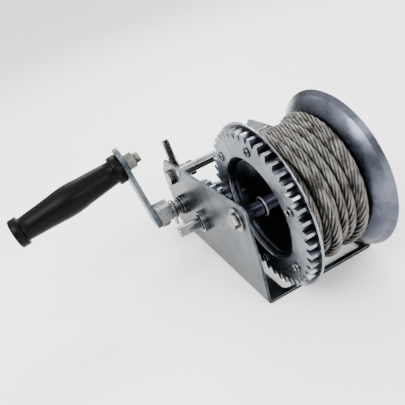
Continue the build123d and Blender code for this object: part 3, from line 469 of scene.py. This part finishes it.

# %% [markdown]
# ### A material on the group
# The group holds the patterns, and the shader stays in the material itself. Dark rings about the axle
# are painted shade: the shaded inside of the pressed flange, its face behind the gear teeth, and the
# middle of the dished flange.


# %% Make a plated material
def plated_metal(name, dark, light, smooth, rough, brushing=(60, 700, 700), shade=None, painted_low_shade=None):
    """A material on the plated group.

    shade is a list of rings of painted shade about the drum's axle: inner, outer, tone and softness.
    The last argument, when given, is a tone of painted shade that darkens the sheet towards the base.
    """
    material = bpy.data.materials.new(name)
    material.use_nodes = True
    tree = material.node_tree
    surface = tree.nodes["Principled BSDF"]
    surface.inputs["Metallic"].default_value = 1.0
    inputs = {"Dark": (*dark, 1), "Light": (*light, 1), "Brushing": brushing}
    inputs |= {"Smooth": smooth, "Rough": rough}
    skin = tree.nodes.new("ShaderNodeGroup")
    skin.node_tree = plated
    for key, value in inputs.items():
        skin.inputs[key].default_value = value
    colour = skin.outputs["Color"]
    # Painted shade: each ring about the axle multiplies the colour darker.
    if shade:
        offset = add(tree, "ShaderNodeTexCoord").outputs["Object"]
        offset = add(tree, "ShaderNodeVectorMath", {0: offset, 1: AXLE}, operation="SUBTRACT").outputs[0]
        offset = add(tree, "ShaderNodeVectorMath", {0: offset, 1: (0, 1, 1)}, operation="MULTIPLY").outputs[0]
        distance = add(tree, "ShaderNodeVectorMath", {0: offset}, operation="LENGTH").outputs["Value"]
        for inner, outer, dark_tone, soft in shade:
            inside = spread(tree, distance, inner * MM, (inner + soft) * MM, 0, 1)
            outside = spread(tree, distance, (outer - soft) * MM, outer * MM, 1, 0)
            ring = maths(tree, "MULTIPLY", inside, outside)
            colour = blend(tree, ring, colour, (*dark_tone, 1), "MULTIPLY")
    if painted_low_shade:
        # Painted shade: the colour is multiplied darker towards the bottom of the part.
        height = add(tree, "ShaderNodeTexCoord").outputs["Object"]
        height = add(tree, "ShaderNodeSeparateXYZ", {0: height}).outputs[2]
        low_shade_mask = spread(tree, height, 0.0, 0.085, 0.75, 0.0)
        colour = blend(tree, low_shade_mask, colour, (*painted_low_shade, 1), "MULTIPLY")
    tree.links.new(colour, surface.inputs["Base Color"])
    tree.links.new(skin.outputs["Roughness"], surface.inputs["Roughness"])
    tree.links.new(skin.outputs["Normal"], surface.inputs["Normal"])
    return material


print("helper: plated_metal")

# %% [markdown]
# ### The plated finishes
# Sheet, turned parts, gears and fittings come from different baths, so each has its own two tones.
# One finish for all of them would be simpler, and would look like a single casting.

# %% The finishes of the CAD parts
FINISH = {
    "zinc_plate": plated_metal(
        "zinc sheet",
        (0.018, 0.022, 0.026),
        (0.12, 0.138, 0.155),
        0.28,
        0.46,
        (50, 50, 900),
        painted_low_shade=(0.25, 0.25, 0.26),
    ),
    "zinc_bright": plated_metal(
        "bright zinc", (0.05, 0.05, 0.05), (0.24, 0.25, 0.26), 0.12, 0.28, (500, 60, 60)
    ),
    "drum_plate": plated_metal("drum zinc", (0.07, 0.08, 0.09), (0.15, 0.165, 0.19), 0.14, 0.3, (60, 60, 60)),
    "gear_steel": plated_metal(
        "cut gear zinc", (0.10, 0.115, 0.135), (0.24, 0.265, 0.30), 0.2, 0.36, (80, 80, 80)
    ),
    "black_steel": plated_metal("black oxide", (0.006, 0.006, 0.007), (0.02, 0.02, 0.022), 0.25, 0.5),
    "ferrule_alloy": plated_metal("swaged alloy", (0.14, 0.14, 0.145), (0.24, 0.24, 0.25), 0.25, 0.45),
}
print("finishes:", sorted(FINISH))

# %% The flanges and the hub
EVEN = (60, 60, 60)
# Painted shade: the recess within 50 mm of the axle is darkened, and the face behind the gear teeth is
# painted near black.
FLANGE_PAINTED_SHADE = [(-1, 50, (0.22, 0.23, 0.27), 1.0), (69, 80.9, (0.04, 0.045, 0.05), 0.8)]
pressed = plated_metal(
    "pressed flange", (0.12, 0.13, 0.15), (0.24, 0.26, 0.29), 0.08, 0.2, EVEN, FLANGE_PAINTED_SHADE
)
# Painted shade: the middle of the dished flange is darkened, fading out by 77 mm from the axle.
DISH_PAINTED_SHADE = [(-1, 77, (0.40, 0.42, 0.46), 18.0)]
dished = plated_metal(
    "dished flange", (0.05, 0.055, 0.07), (0.115, 0.125, 0.155), 0.2, 0.36, EVEN, DISH_PAINTED_SHADE
)
hub_zinc = plated_metal("hub zinc", (0.06, 0.06, 0.09), (0.14, 0.145, 0.2), 0.12, 0.26, (300, 60, 60))
print("plated finishes:", len(FINISH) + 3)

# %% [markdown]
# ### The wires of the rope
# Each strand is itself twisted from thin wires. They are too fine to model, so slanted lines run
# along the strand's own UVs, and stay on it wherever it goes. Noise stands for grime in the tone,
# and shade between the turns is painted in by ambient occlusion.

# %% The strand wires group
wires, given, out = sockets(
    "strand wires",
    "ShaderNodeTree",
    [],
    [("Color", "NodeSocketColor"), ("Roughness", "NodeSocketFloat"), ("Height", "NodeSocketFloat")],
)
own = add(wires, "ShaderNodeUVMap", uv_map="along").outputs[0]
own = add(wires, "ShaderNodeSeparateXYZ", {0: own}).outputs
WIRES_PER_METRE, WIRES_ROUND = 520, 7.0
lengthwise = maths(wires, "MULTIPLY", own[0], WIRES_PER_METRE)
slant = maths(wires, "ADD", lengthwise, maths(wires, "MULTIPLY", own[1], WIRES_ROUND))
wave = maths(wires, "ABSOLUTE", maths(wires, "SINE", maths(wires, "MULTIPLY", slant, pi)))
place = add(wires, "ShaderNodeTexCoord").outputs["Object"]
inputs = {"Vector": place, "Scale": 90, "Detail": 5, "Roughness": 0.65}
grime = add(wires, "ShaderNodeTexNoise", inputs).outputs[0]
lit = blend(wires, spread(wires, grime, 0.35, 0.65, 0, 1), (0.045, 0.042, 0.038, 1), (0.25, 0.24, 0.225, 1))
# Painted shade: ambient occlusion darkens the wires between the turns.
painted_turn_shade = add(wires, "ShaderNodeAmbientOcclusion", {"Distance": 0.006}, samples=6).outputs["AO"]
painted_turn_shade = spread(wires, painted_turn_shade, 0.1, 0.85, 0.05, 1.0)
grey = add(wires, "ShaderNodeCombineColor", {0: painted_turn_shade, 1: painted_turn_shade, 2: painted_turn_shade}).outputs[0]
lit = blend(wires, 1.0, lit, grey, "MULTIPLY")
groove = spread(wires, wave, 0.05, 0.55, 0.0, 1.0)
wires.links.new(blend(wires, groove, (0.02, 0.018, 0.016, 1), lit), out["Color"])
wires.links.new(spread(wires, grime, 0.3, 0.7, 0.26, 0.46), out["Roughness"])
wires.links.new(wave, out["Height"])
print("strand wires nodes:", len(wires.nodes))

# %% The galvanised wire material
wire = bpy.data.materials.new("galvanised wire")
wire.use_nodes = True
tree = wire.node_tree
surface = tree.nodes["Principled BSDF"]
surface.inputs["Metallic"].default_value = 0.9
skin = tree.nodes.new("ShaderNodeGroup")
skin.node_tree = wires
tree.links.new(skin.outputs["Color"], surface.inputs["Base Color"])
tree.links.new(skin.outputs["Roughness"], surface.inputs["Roughness"])
bump = add(tree, "ShaderNodeBump", {"Strength": 0.8, "Distance": 0.0003, "Height": skin.outputs["Height"]})
tree.links.new(bump.outputs[0], surface.inputs["Normal"])
rope.data.materials.append(wire)
FINISH["wire_rope"] = wire
print("rope material:", wire.name)

# %% [markdown]
# ### Black plastic
# The grip is moulded in a hard black plastic with a fine sparked grain. A plain black shader looks
# like a hole in the picture, so two close tones and a slight bump give the light something to catch.

# %% The moulded plastic
plastic = bpy.data.materials.new("moulded black plastic")
plastic.use_nodes = True
tree = plastic.node_tree
surface = tree.nodes["Principled BSDF"]
surface.inputs["Specular IOR Level"].default_value = 0.06
place = add(tree, "ShaderNodeTexCoord").outputs["Object"]
cloud = add(tree, "ShaderNodeTexNoise", {"Vector": place, "Scale": 45, "Detail": 4}).outputs[0]
grain = add(tree, "ShaderNodeTexNoise", {"Vector": place, "Scale": 1500, "Detail": 2}).outputs[0]
tint = blend(tree, cloud, (0.0004, 0.0004, 0.0004, 1), (0.0012, 0.0012, 0.0013, 1))
tree.links.new(tint, surface.inputs["Base Color"])
tree.links.new(spread(tree, cloud, 0.3, 0.7, 0.28, 0.42), surface.inputs["Roughness"])
bump = add(tree, "ShaderNodeBump", {"Strength": 0.15, "Distance": 0.0002, "Height": grain})
tree.links.new(bump.outputs[0], surface.inputs["Normal"])
FINISH["grip_black"] = plastic
print("grip material:", plastic.name)

# %% [markdown]
# ### Finishes onto parts
# The record names a material slot for each part, and a loop fills them. A few parts differ from
# others of their slot, such as the bolts, which are a warmer grey than the sheet.

# %% Give every CAD part its finish
bolt_zinc = plated_metal("bolt zinc", (0.035, 0.03, 0.026), (0.20, 0.19, 0.175), 0.15, 0.34, (90, 90, 90))
BOLTS = ("axle_bolt", "pawl_bolt", "crank_lock_bolt", "grip_bolt", "clamp_screw")
special = {name: bolt_zinc for name in BOLTS}
special |= {"left_flange": pressed, "right_flange": dished, "axle_sleeve": hub_zinc, "hub_tube": hub_zinc}
for name, part in nodes.items():
    part.data.materials.clear()
    part.data.materials.append(special.get(name, FINISH[slot_of[name]]))
print("parts with a finish:", len(nodes))

# %% [markdown]
# ## Repeated details with Geometry Nodes
# Weld ripples, rivet rims and screw threads all repeat along a line or a set of points. They could
# be arrays of copies, but a node tree keeps the rule and its sizes in one place. Each tree below
# has named inputs, ends in Realize Instances and Set Material, and is turned into a plain mesh.

# %% Geometry Nodes helpers
GEOMETRY = "NodeSocketGeometry"


def tree_of(name, inputs):
    tree, given, out = sockets(
        name,
        "GeometryNodeTree",
        [("Geometry", GEOMETRY, None)] + inputs + [("Material", "NodeSocketMaterial", None)],
        [("Geometry", GEOMETRY)],
    )
    return tree, given, out


def close(tree, geometry, given, out):
    """End a tree: real geometry, its material, and the group's output."""
    real = add(tree, "GeometryNodeRealizeInstances", {0: geometry}).outputs[0]
    smooth = add(tree, "GeometryNodeSetShadeSmooth", {0: real}).outputs[0]
    inputs = {"Geometry": smooth, "Material": given["Material"]}
    done = add(tree, "GeometryNodeSetMaterial", inputs).outputs[0]
    tree.links.new(done, out["Geometry"])


print("helpers: tree_of, close")


# %% Run a tree and keep the result
def grown(name, mesh, tree, values, body):
    """Run the tree on a mesh and keep the result as a plain piece that rides on a body."""
    seed = put(name + "_seed", mesh)
    modifier = seed.modifiers.new("nodes", "NODES")
    modifier.node_group = tree
    for item in tree.interface.items_tree:
        if item.in_out == "INPUT" and item.name in values:
            modifier[item.identifier] = values[item.name]
    bpy.context.view_layer.update()
    made = bpy.data.meshes.new_from_object(seed.evaluated_get(bpy.context.evaluated_depsgraph_get()))
    seed.modifiers.remove(modifier)
    bpy.data.objects.remove(seed)
    piece = put(name, made)
    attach(piece, body)
    print(name, "faces:", len(made.polygons))
    return piece


def loop_mesh(points):
    """A mesh of edges alone, through the points and back to the first."""
    mesh = bpy.data.meshes.new("loop")
    count = len(points)
    edges = [(i, (i + 1) % count) for i in range(count)]
    mesh.from_pydata([tuple(point) for point in points], edges, [])
    return mesh


def ring_points(x, y, z, radius, count=48):
    turns = [tau * i / count for i in range(count)]
    return [Vector((x, y + radius * cos(a), z + radius * sin(a))) * MM for a in turns]


print("helpers: grown, loop_mesh, ring_points")

# %% [markdown]
# ### Weld beads
# The hub is welded into both flanges, the arm onto its socket, and the tie rod into the plates. A
# weld is a row of overlapping ripples. Small squashed balls along the seam read as exactly that.

# %% The weld bead tree
weld, given, out = tree_of(
    "weld bead",
    [("Spacing", "NodeSocketFloat", 0.001), ("Bead", "NodeSocketFloat", 0.001)],
)
seam = add(weld, "GeometryNodeMeshToCurve", {0: given["Geometry"]}).outputs[0]
spots = add(weld, "GeometryNodeResampleCurve", {"Curve": seam, "Length": given["Spacing"]}, mode="LENGTH")
ball = add(weld, "GeometryNodeMeshUVSphere", {"Segments": 14, "Rings": 8, "Radius": given["Bead"]}).outputs[0]
size = add(weld, "FunctionNodeRandomValue", {2: 0.86, 3: 1.1, "Seed": 4}, data_type="FLOAT").outputs[1]
beads = add(
    weld,
    "GeometryNodeInstanceOnPoints",
    {"Points": spots.outputs[0], "Instance": ball, "Scale": size},
)
close(weld, beads.outputs[0], given, out)
print("weld bead nodes:", len(weld.nodes))

# %% Welds at the hub and the tie rod
TIE_Y, TIE_Z = 45, 96.5
welded = plated_metal("weld metal", (0.10, 0.10, 0.11), (0.24, 0.24, 0.25), 0.25, 0.5, (300, 300, 300))
SEAMS = {
    "hub_weld_left": ("drum", ring_points(-35.1, AXLE_Y, AXLE_Z, 8.9), 1.2),
    "hub_weld_right": ("drum", ring_points(33.1, AXLE_Y, AXLE_Z, 9.9), 0.9),
    "tie_weld_left": ("frame", ring_points(-62.3, TIE_Y, TIE_Z, 4.1), 0.8),
    "tie_weld_right": ("frame", ring_points(62.3, TIE_Y, TIE_Z, 4.1), 0.8),
}
for name, (body, seam_points, bead) in SEAMS.items():
    values = {"Spacing": bead * 0.9 * MM, "Bead": bead * MM, "Material": welded}
    grown(name, loop_mesh(seam_points), weld, values, body)

# %% [markdown]
# ### The weld on the crank
# The arm leans outwards, so it has its own three directions. Points given along them stay on the
# arm, and the same directions place the grip and its nut later.

# %% The crank's frame of reference, and the weld between its arm and socket
LEAN = radians(8)
CRANK_Y = 58.0763
ARM_UP = Vector((-sin(LEAN), 0, cos(LEAN)))
GRIP_OUT = Vector((-cos(LEAN), 0, -sin(LEAN)))
ARM_ROOT = Vector((-104, CRANK_Y, 51))
GRIP_ROOT = ARM_ROOT + ARM_UP * 78
ARM_SIDE = GRIP_OUT.cross(ARM_UP)


def on_arm(outward, up=0.0, side=0.0):
    return (ARM_ROOT + GRIP_OUT * outward + ARM_UP * up + ARM_SIDE * side) * MM


corners = [(14.4, 9.6), (14.4, -9.6), (-7.4, -9.6), (-7.4, 9.6)]
seam_points = [on_arm(-3.2, up, side) for up, side in corners]
values = {"Spacing": 1.1 * MM, "Bead": 1.3 * MM, "Material": welded}
grown("socket_weld", loop_mesh(seam_points), weld, values, "crank")

# %% [markdown]
# ### Rivet rims
# Six tubular rivets hold the gear on its flange. The riveting tool rolls the end of each into a
# smooth rim. A ring swept around a small circle, set on six points, makes them all at once.

# %% Rivet rims
CIRCLE = "GeometryNodeCurvePrimitiveCircle"
rims, given, out = tree_of(
    "rivet rims",
    [("Rim", "NodeSocketFloat", 0.004), ("Roll", "NodeSocketFloat", 0.0007)],
)
circle = add(rims, CIRCLE, {"Resolution": 32, "Radius": given["Rim"]}).outputs[0]
profile = add(rims, CIRCLE, {"Resolution": 10, "Radius": given["Roll"]}).outputs[0]
ring = add(rims, "GeometryNodeCurveToMesh", {"Curve": circle, "Profile Curve": profile}).outputs[0]
spots = add(
    rims,
    "GeometryNodeInstanceOnPoints",
    {"Points": given["Geometry"], "Instance": ring, "Rotation": (0, pi / 2, 0)},
)
close(rims, spots.outputs[0], given, out)
RIVET_CIRCLE = 62.96
RIVET_X = -41.9
spots_mesh = bpy.data.meshes.new("rivet_spots")
rivets = [tuple(beside_axle(RIVET_X, RIVET_CIRCLE, 40 + 60 * i)) for i in range(6)]
spots_mesh.from_pydata(rivets, [], [])
values = {"Rim": 3.9 * MM, "Roll": 0.75 * MM, "Material": FINISH["zinc_bright"]}
grown("rivet_rims", spots_mesh, rims, values, "drum")

# %% [markdown]
# ### Screw threads
# The ends of the grip bolt and of the axle bolt stick out of their nuts. A thread is a spiral with
# a three-sided section, so the Spiral curve node and a triangle are all that it takes.

# %% The screw thread tree
thread, given, out = tree_of(
    "screw thread",
    [
        ("Radius", "NodeSocketFloat", 0.005),
        ("Length", "NodeSocketFloat", 0.006),
        ("Turns", "NodeSocketFloat", 4.0),
        ("Place", "NodeSocketVector", (0, 0, 0)),
        ("Turn", "NodeSocketVector", (0, 0, 0)),
    ],
)
spiral = add(
    thread,
    "GeometryNodeCurveSpiral",
    {
        "Resolution": 48,
        "Rotations": given["Turns"],
        "Start Radius": given["Radius"],
        "End Radius": given["Radius"],
        "Height": given["Length"],
    },
).outputs[0]
ridge = add(thread, CIRCLE, {"Resolution": 3, "Radius": 0.00055}).outputs[0]
wound = add(thread, "GeometryNodeCurveToMesh", {"Curve": spiral, "Profile Curve": ridge}).outputs[0]
moved = add(
    thread,
    "GeometryNodeTransform",
    {"Geometry": wound, "Translation": given["Place"], "Rotation": given["Turn"]},
).outputs[0]
close(thread, moved, given, out)
print("screw thread nodes:", len(thread.nodes))

# %% Threads on the grip bolt and the axle bolt
OUTWARD = {
    "grip_bolt_thread": ("crank", (GRIP_ROOT - GRIP_OUT * 13.9) * MM, -GRIP_OUT, 5.85, 5.6, 1.4),
    "axle_bolt_thread": ("frame", Vector((70.6, AXLE_Y, AXLE_Z)) * MM, Vector((1, 0, 0)), 3.9, 3.6, 1.1),
}
for name, (body, foot, way, radius, length, pitch) in OUTWARD.items():
    turned = way.to_track_quat("Z", "Y").to_euler()
    values = {"Radius": radius * MM, "Length": length * MM, "Turns": length / pitch, "Place": foot}
    values |= {"Turn": tuple(turned), "Material": bolt_zinc}
    empty = bpy.data.meshes.new("none")
    grown(name, empty, thread, values, body)

# %% [markdown]
# ## Nuts
# A real nut isn't a plain hexagon: its corners are cut back by a cone at both ends, and the hole
# has a small countersink. The mesh is built in rings around the hole, and the height of each
# corner follows the cone, which gives the curved edges a nut is known by.


# %% A chamfered nut
def nut_mesh(name, flats, height, bore):
    """A nut on its own Z axis, standing on the origin."""
    mesh = bmesh.new()
    count = 72
    sink = 0.5
    rows = []
    inset = flats / 2 * 0.93
    for level in (0, 1):
        for kind in ("bore", "sink", "face", "hex"):
            row = []
            for i in range(count):
                a = tau * i / count
                edge_r = flats / 2 / cos((a % (pi / 3)) - pi / 6)
                r = {"bore": bore, "sink": bore + sink, "face": inset, "hex": edge_r}[kind]
                drop = max(0.0, r - inset) * 0.55 if kind == "hex" else 0.0
                drop = sink if kind == "bore" else drop
                z = height - drop if level else drop
                row.append(mesh.verts.new(Vector((r * cos(a), r * sin(a), z)) * MM))
            rows.append(row)
    order = [rows[0], rows[1], rows[2], rows[3], rows[7], rows[6], rows[5], rows[4], rows[0]]
    for a, b in zip(order, order[1:]):
        for i in range(count):
            j = (i + 1) % count
            mesh.faces.new((a[i], a[j], b[j], b[i]))
    bmesh.ops.recalc_face_normals(mesh, faces=mesh.faces)
    made = bpy.data.meshes.new(name)
    mesh.to_mesh(made)
    mesh.free()
    return soften(made, 25)


def across_to(x_dir, z_dir, foot):
    """The matrix that stands a mesh on a foot point, with its Z along z_dir."""
    axes = Matrix((x_dir, z_dir.cross(x_dir), z_dir)).transposed()
    return Matrix.Translation(foot) @ axes.to_4x4()


print("helpers: nut_mesh, across_to")

# %% Put the three nuts in place
ALONG_X, ALONG_Y = Vector((1, 0, 0)), Vector((0, 1, 0))
NUTS = {
    "grip_nut": ("crank", 18.0, 10.8, 6.0, ARM_UP, GRIP_OUT, (GRIP_ROOT - GRIP_OUT * 13.8) * MM),
    "axle_nut": ("frame", 13.0, 6.5, 4.0, ALONG_Y, ALONG_X, Vector((64, AXLE_Y, AXLE_Z)) * MM),
    "pawl_nut": ("frame", 16.0, 8.0, 5.0, ALONG_Y, ALONG_X, Vector((-41, 74, 82.5)) * MM),
}
for name, (body, flats, height, bore, x_dir, z_dir, foot) in NUTS.items():
    made = nut_mesh(name, flats, height, bore)
    made.transform(across_to(x_dir, z_dir, foot))
    made.materials.append(bolt_zinc)
    nut = put(name + "_cut", made)
    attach(nut, body)
    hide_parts(name)
    print(name, "box:", [round(v * 1000, 1) for v in nut.dimensions])

# %% [markdown]
# ## The grip
# The grip is a moulded sleeve that spins on its bolt: two collars, and a belly that fills the hand.
# It could be a revolved curve. Here a lathe in code turns the profile, because each point can then
# be pushed out a little along the two parting lines that the mould leaves.

# %% The grip's profile: distance along it, and radius
LOW, LONG = 3.4, 134.5
BORE_R, RECESS_R, RECESS = 6.05, 11.0, 5
half = LONG / 2
side_profile = [(0, BORE_R), (0, 15.2), (0.5, 16.4), (1.5, 17), (9.2, 17), (9.9, 16.7)]
side_profile += [(10.3, 15.8), (10.7, 14.0), (11.6, 13.55), (20, 14.2), (35, 15.3), (50, 16.45)]
side_profile += [(half - 11, 17.2), (half - 4, 17.6), (half, 17.7)]
profile = side_profile + [(LONG - x, r) for x, r in reversed(side_profile[1:-1])]
profile = profile[:-1] + [(LONG, 15.2), (LONG, 11.6), (LONG - 0.6, RECESS_R)]
profile += [(LONG - RECESS, RECESS_R), (LONG - RECESS, BORE_R), (0, BORE_R)]
print("profile points:", len(profile))

# %% Turn the profile, with the two parting lines
count = 128
turns = np.arange(count) * tau / count
seam = np.exp(-((np.minimum(turns % pi, pi - turns % pi)) / 0.03) ** 2) * 0.16
rows = []
for along, radius in profile[:-1]:
    r = radius + (seam if radius > 12 else 0)
    rows.append(np.stack([r * np.cos(turns), r * np.sin(turns), np.full(count, LOW + along)], axis=1))
corners = np.concatenate(rows) * MM
faces = []
for a in range(len(rows)):
    b = (a + 1) % len(rows)
    for i in range(count):
        j = (i + 1) % count
        faces.append((a * count + i, a * count + j, b * count + j, b * count + i))
grip_mesh = bpy.data.meshes.new("moulded_grip")
grip_mesh.from_pydata(corners.tolist(), [], faces)
grip_mesh.transform(across_to(ARM_UP, GRIP_OUT, GRIP_ROOT * MM))
soften(grip_mesh, 50)
print("grip corners:", len(corners))

# %% Put the grip on its body
grip_mesh.materials.append(plastic)
moulded = put("moulded_grip", grip_mesh)
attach(moulded, "grip")
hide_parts("grip")
print("grip faces:", len(grip_mesh.polygons))

# %% [markdown]
# ## The pawl spring
# The spring has a few coils around the pawl's sleeve, one leg on the frame side and one on the
# pawl. A helix with two straight ends, swept with the same tube helper as the rope, is enough.

# %% The spring's line
PAWL_AT = Vector((-48.8, 74, 82.5))
places = [PAWL_AT + Vector((0, 0, 8.3)) + Vector((0, -13 * t, 2.2 * t)) for t in (1.0, 0.7, 0.4)]
COIL_POINTS, COIL_R, COIL_WIDTH = 80, 8.3, 6.0
for i in range(COIL_POINTS):
    a = pi / 2 + tau * i / 24
    places.append(PAWL_AT + Vector((COIL_WIDTH * i / COIL_POINTS, COIL_R * cos(a), COIL_R * sin(a))))
last = places[-1]
places += [last + Vector((0.2, 4 * t, -9 * t)) for t in (0.4, 0.8, 1.2)]
points = np.array([tuple(p) for p in places]) * MM
print("spring points:", len(points))

# %% Wind the spring
SPRING_WIRE_R = 0.7 * MM
ahead = np.gradient(points, axis=0)
ahead /= np.linalg.norm(ahead, axis=1)[:, None]
side = np.cross(ahead, np.array([1.0, 0.02, 0.01]))
side /= np.linalg.norm(side, axis=1)[:, None]
wound = tube_arrays(points, side, np.cross(ahead, side), SPRING_WIRE_R, 10, 0)
spring_mesh = mesh_of("pawl_spring_wound", [wound])
spring_mesh.materials.append(FINISH["zinc_bright"])
spring = put("pawl_spring_wound", spring_mesh)
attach(spring, "frame")
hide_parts("pawl_spring")
print("spring faces:", len(spring_mesh.polygons))

# %% [markdown]
# ## Floor and light
# A plain pale floor and large soft lights suit a product picture. Plated steel shows whatever is
# around it, so the surroundings go from white above to grey at the sides, which gives the metal
# its dark and light bands. The camera itself still sees plain white behind the winch.

# %% Floor
floor_mesh = bpy.data.meshes.new("floor")
REACH = 40
floor_corners = [(-REACH, -REACH, 0), (REACH, -REACH, 0), (REACH, REACH, 0), (-REACH, REACH, 0)]
floor_mesh.from_pydata(floor_corners, [], [(0, 1, 2, 3)])
floor = put("floor", floor_mesh)
pale = bpy.data.materials.new("pale floor")
pale.use_nodes = True
tree = pale.node_tree
place = add(tree, "ShaderNodeTexCoord").outputs["Object"]
cloud = add(tree, "ShaderNodeTexNoise", {"Vector": place, "Scale": 3}).outputs[0]
tint = blend(tree, cloud, (0.9, 0.9, 0.9, 1), (0.94, 0.94, 0.94, 1))
tree.links.new(tint, tree.nodes["Principled BSDF"].inputs["Base Color"])
tree.nodes["Principled BSDF"].inputs["Roughness"].default_value = 0.7
floor_mesh.materials.append(pale)
floor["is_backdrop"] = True
print("floor:", 2 * REACH, "m across")

# %% [markdown]
# ### The surroundings
# Metal is mostly what it reflects. A gradient from above to the sides gives it light and dark
# bands, and the camera sees a plain white instead, by way of the Light Path node.

# %% The surroundings
world = bpy.data.worlds.new("studio")
scene.world = world
world.use_nodes = True
tree = world.node_tree
sky = tree.nodes["Background"]
way = add(tree, "ShaderNodeTexCoord").outputs["Generated"]
up = add(tree, "ShaderNodeSeparateXYZ", {0: way}).outputs[2]
level = spread(tree, up, 0.05, 0.75, 0.05, 2.6)
seen = add(tree, "ShaderNodeLightPath").outputs["Is Camera Ray"]
shade = add(tree, "ShaderNodeCombineColor", {0: level, 1: level, 2: level}).outputs[0]
tree.links.new(blend(tree, seen, shade, (2.6, 2.6, 2.6, 1)), sky.inputs["Color"])
sky.inputs["Strength"].default_value = 1.0
print("world:", world.name)

# %% [markdown]
# ### Three softboxes
# A key light over the crank side, a wide low fill in front, and a strip behind that draws the
# edges. Area lights give soft highlights. Point lights would leave hard dots on the plating.


# %% Lights
def softbox(name, place, aim, width, height, power):
    """A rectangular area light at a place, turned towards a point."""
    light = bpy.data.lights.new(name, "AREA")
    light.shape = "RECTANGLE"
    light.size, light.size_y, light.energy = width, height, power
    lamp = bpy.data.objects.new(name, light)
    scene.collection.objects.link(lamp)
    lamp.location = place
    lamp.rotation_euler = (Vector(aim) - Vector(place)).to_track_quat("-Z", "Y").to_euler()


MIDDLE = (0, 0, 0.05)
softbox("key", (-1.0, -0.6, 1.3), MIDDLE, 0.9, 0.9, 42)
softbox("front fill", (0.5, -1.4, 0.7), MIDDLE, 1.0, 0.5, 24)
softbox("back strip", (0.4, 1.1, 1.2), MIDDLE, 1.2, 0.4, 30)
print("lights: 3")

# %% [markdown]
# ## Finish
# The box of the CAD parts and the box of everything shown are put side by side. The looks must
# not outgrow the CAD.

# %% Finish
size = {"cad": [list(corner) for corner in cad_box], "visual": [list(corner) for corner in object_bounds()]}
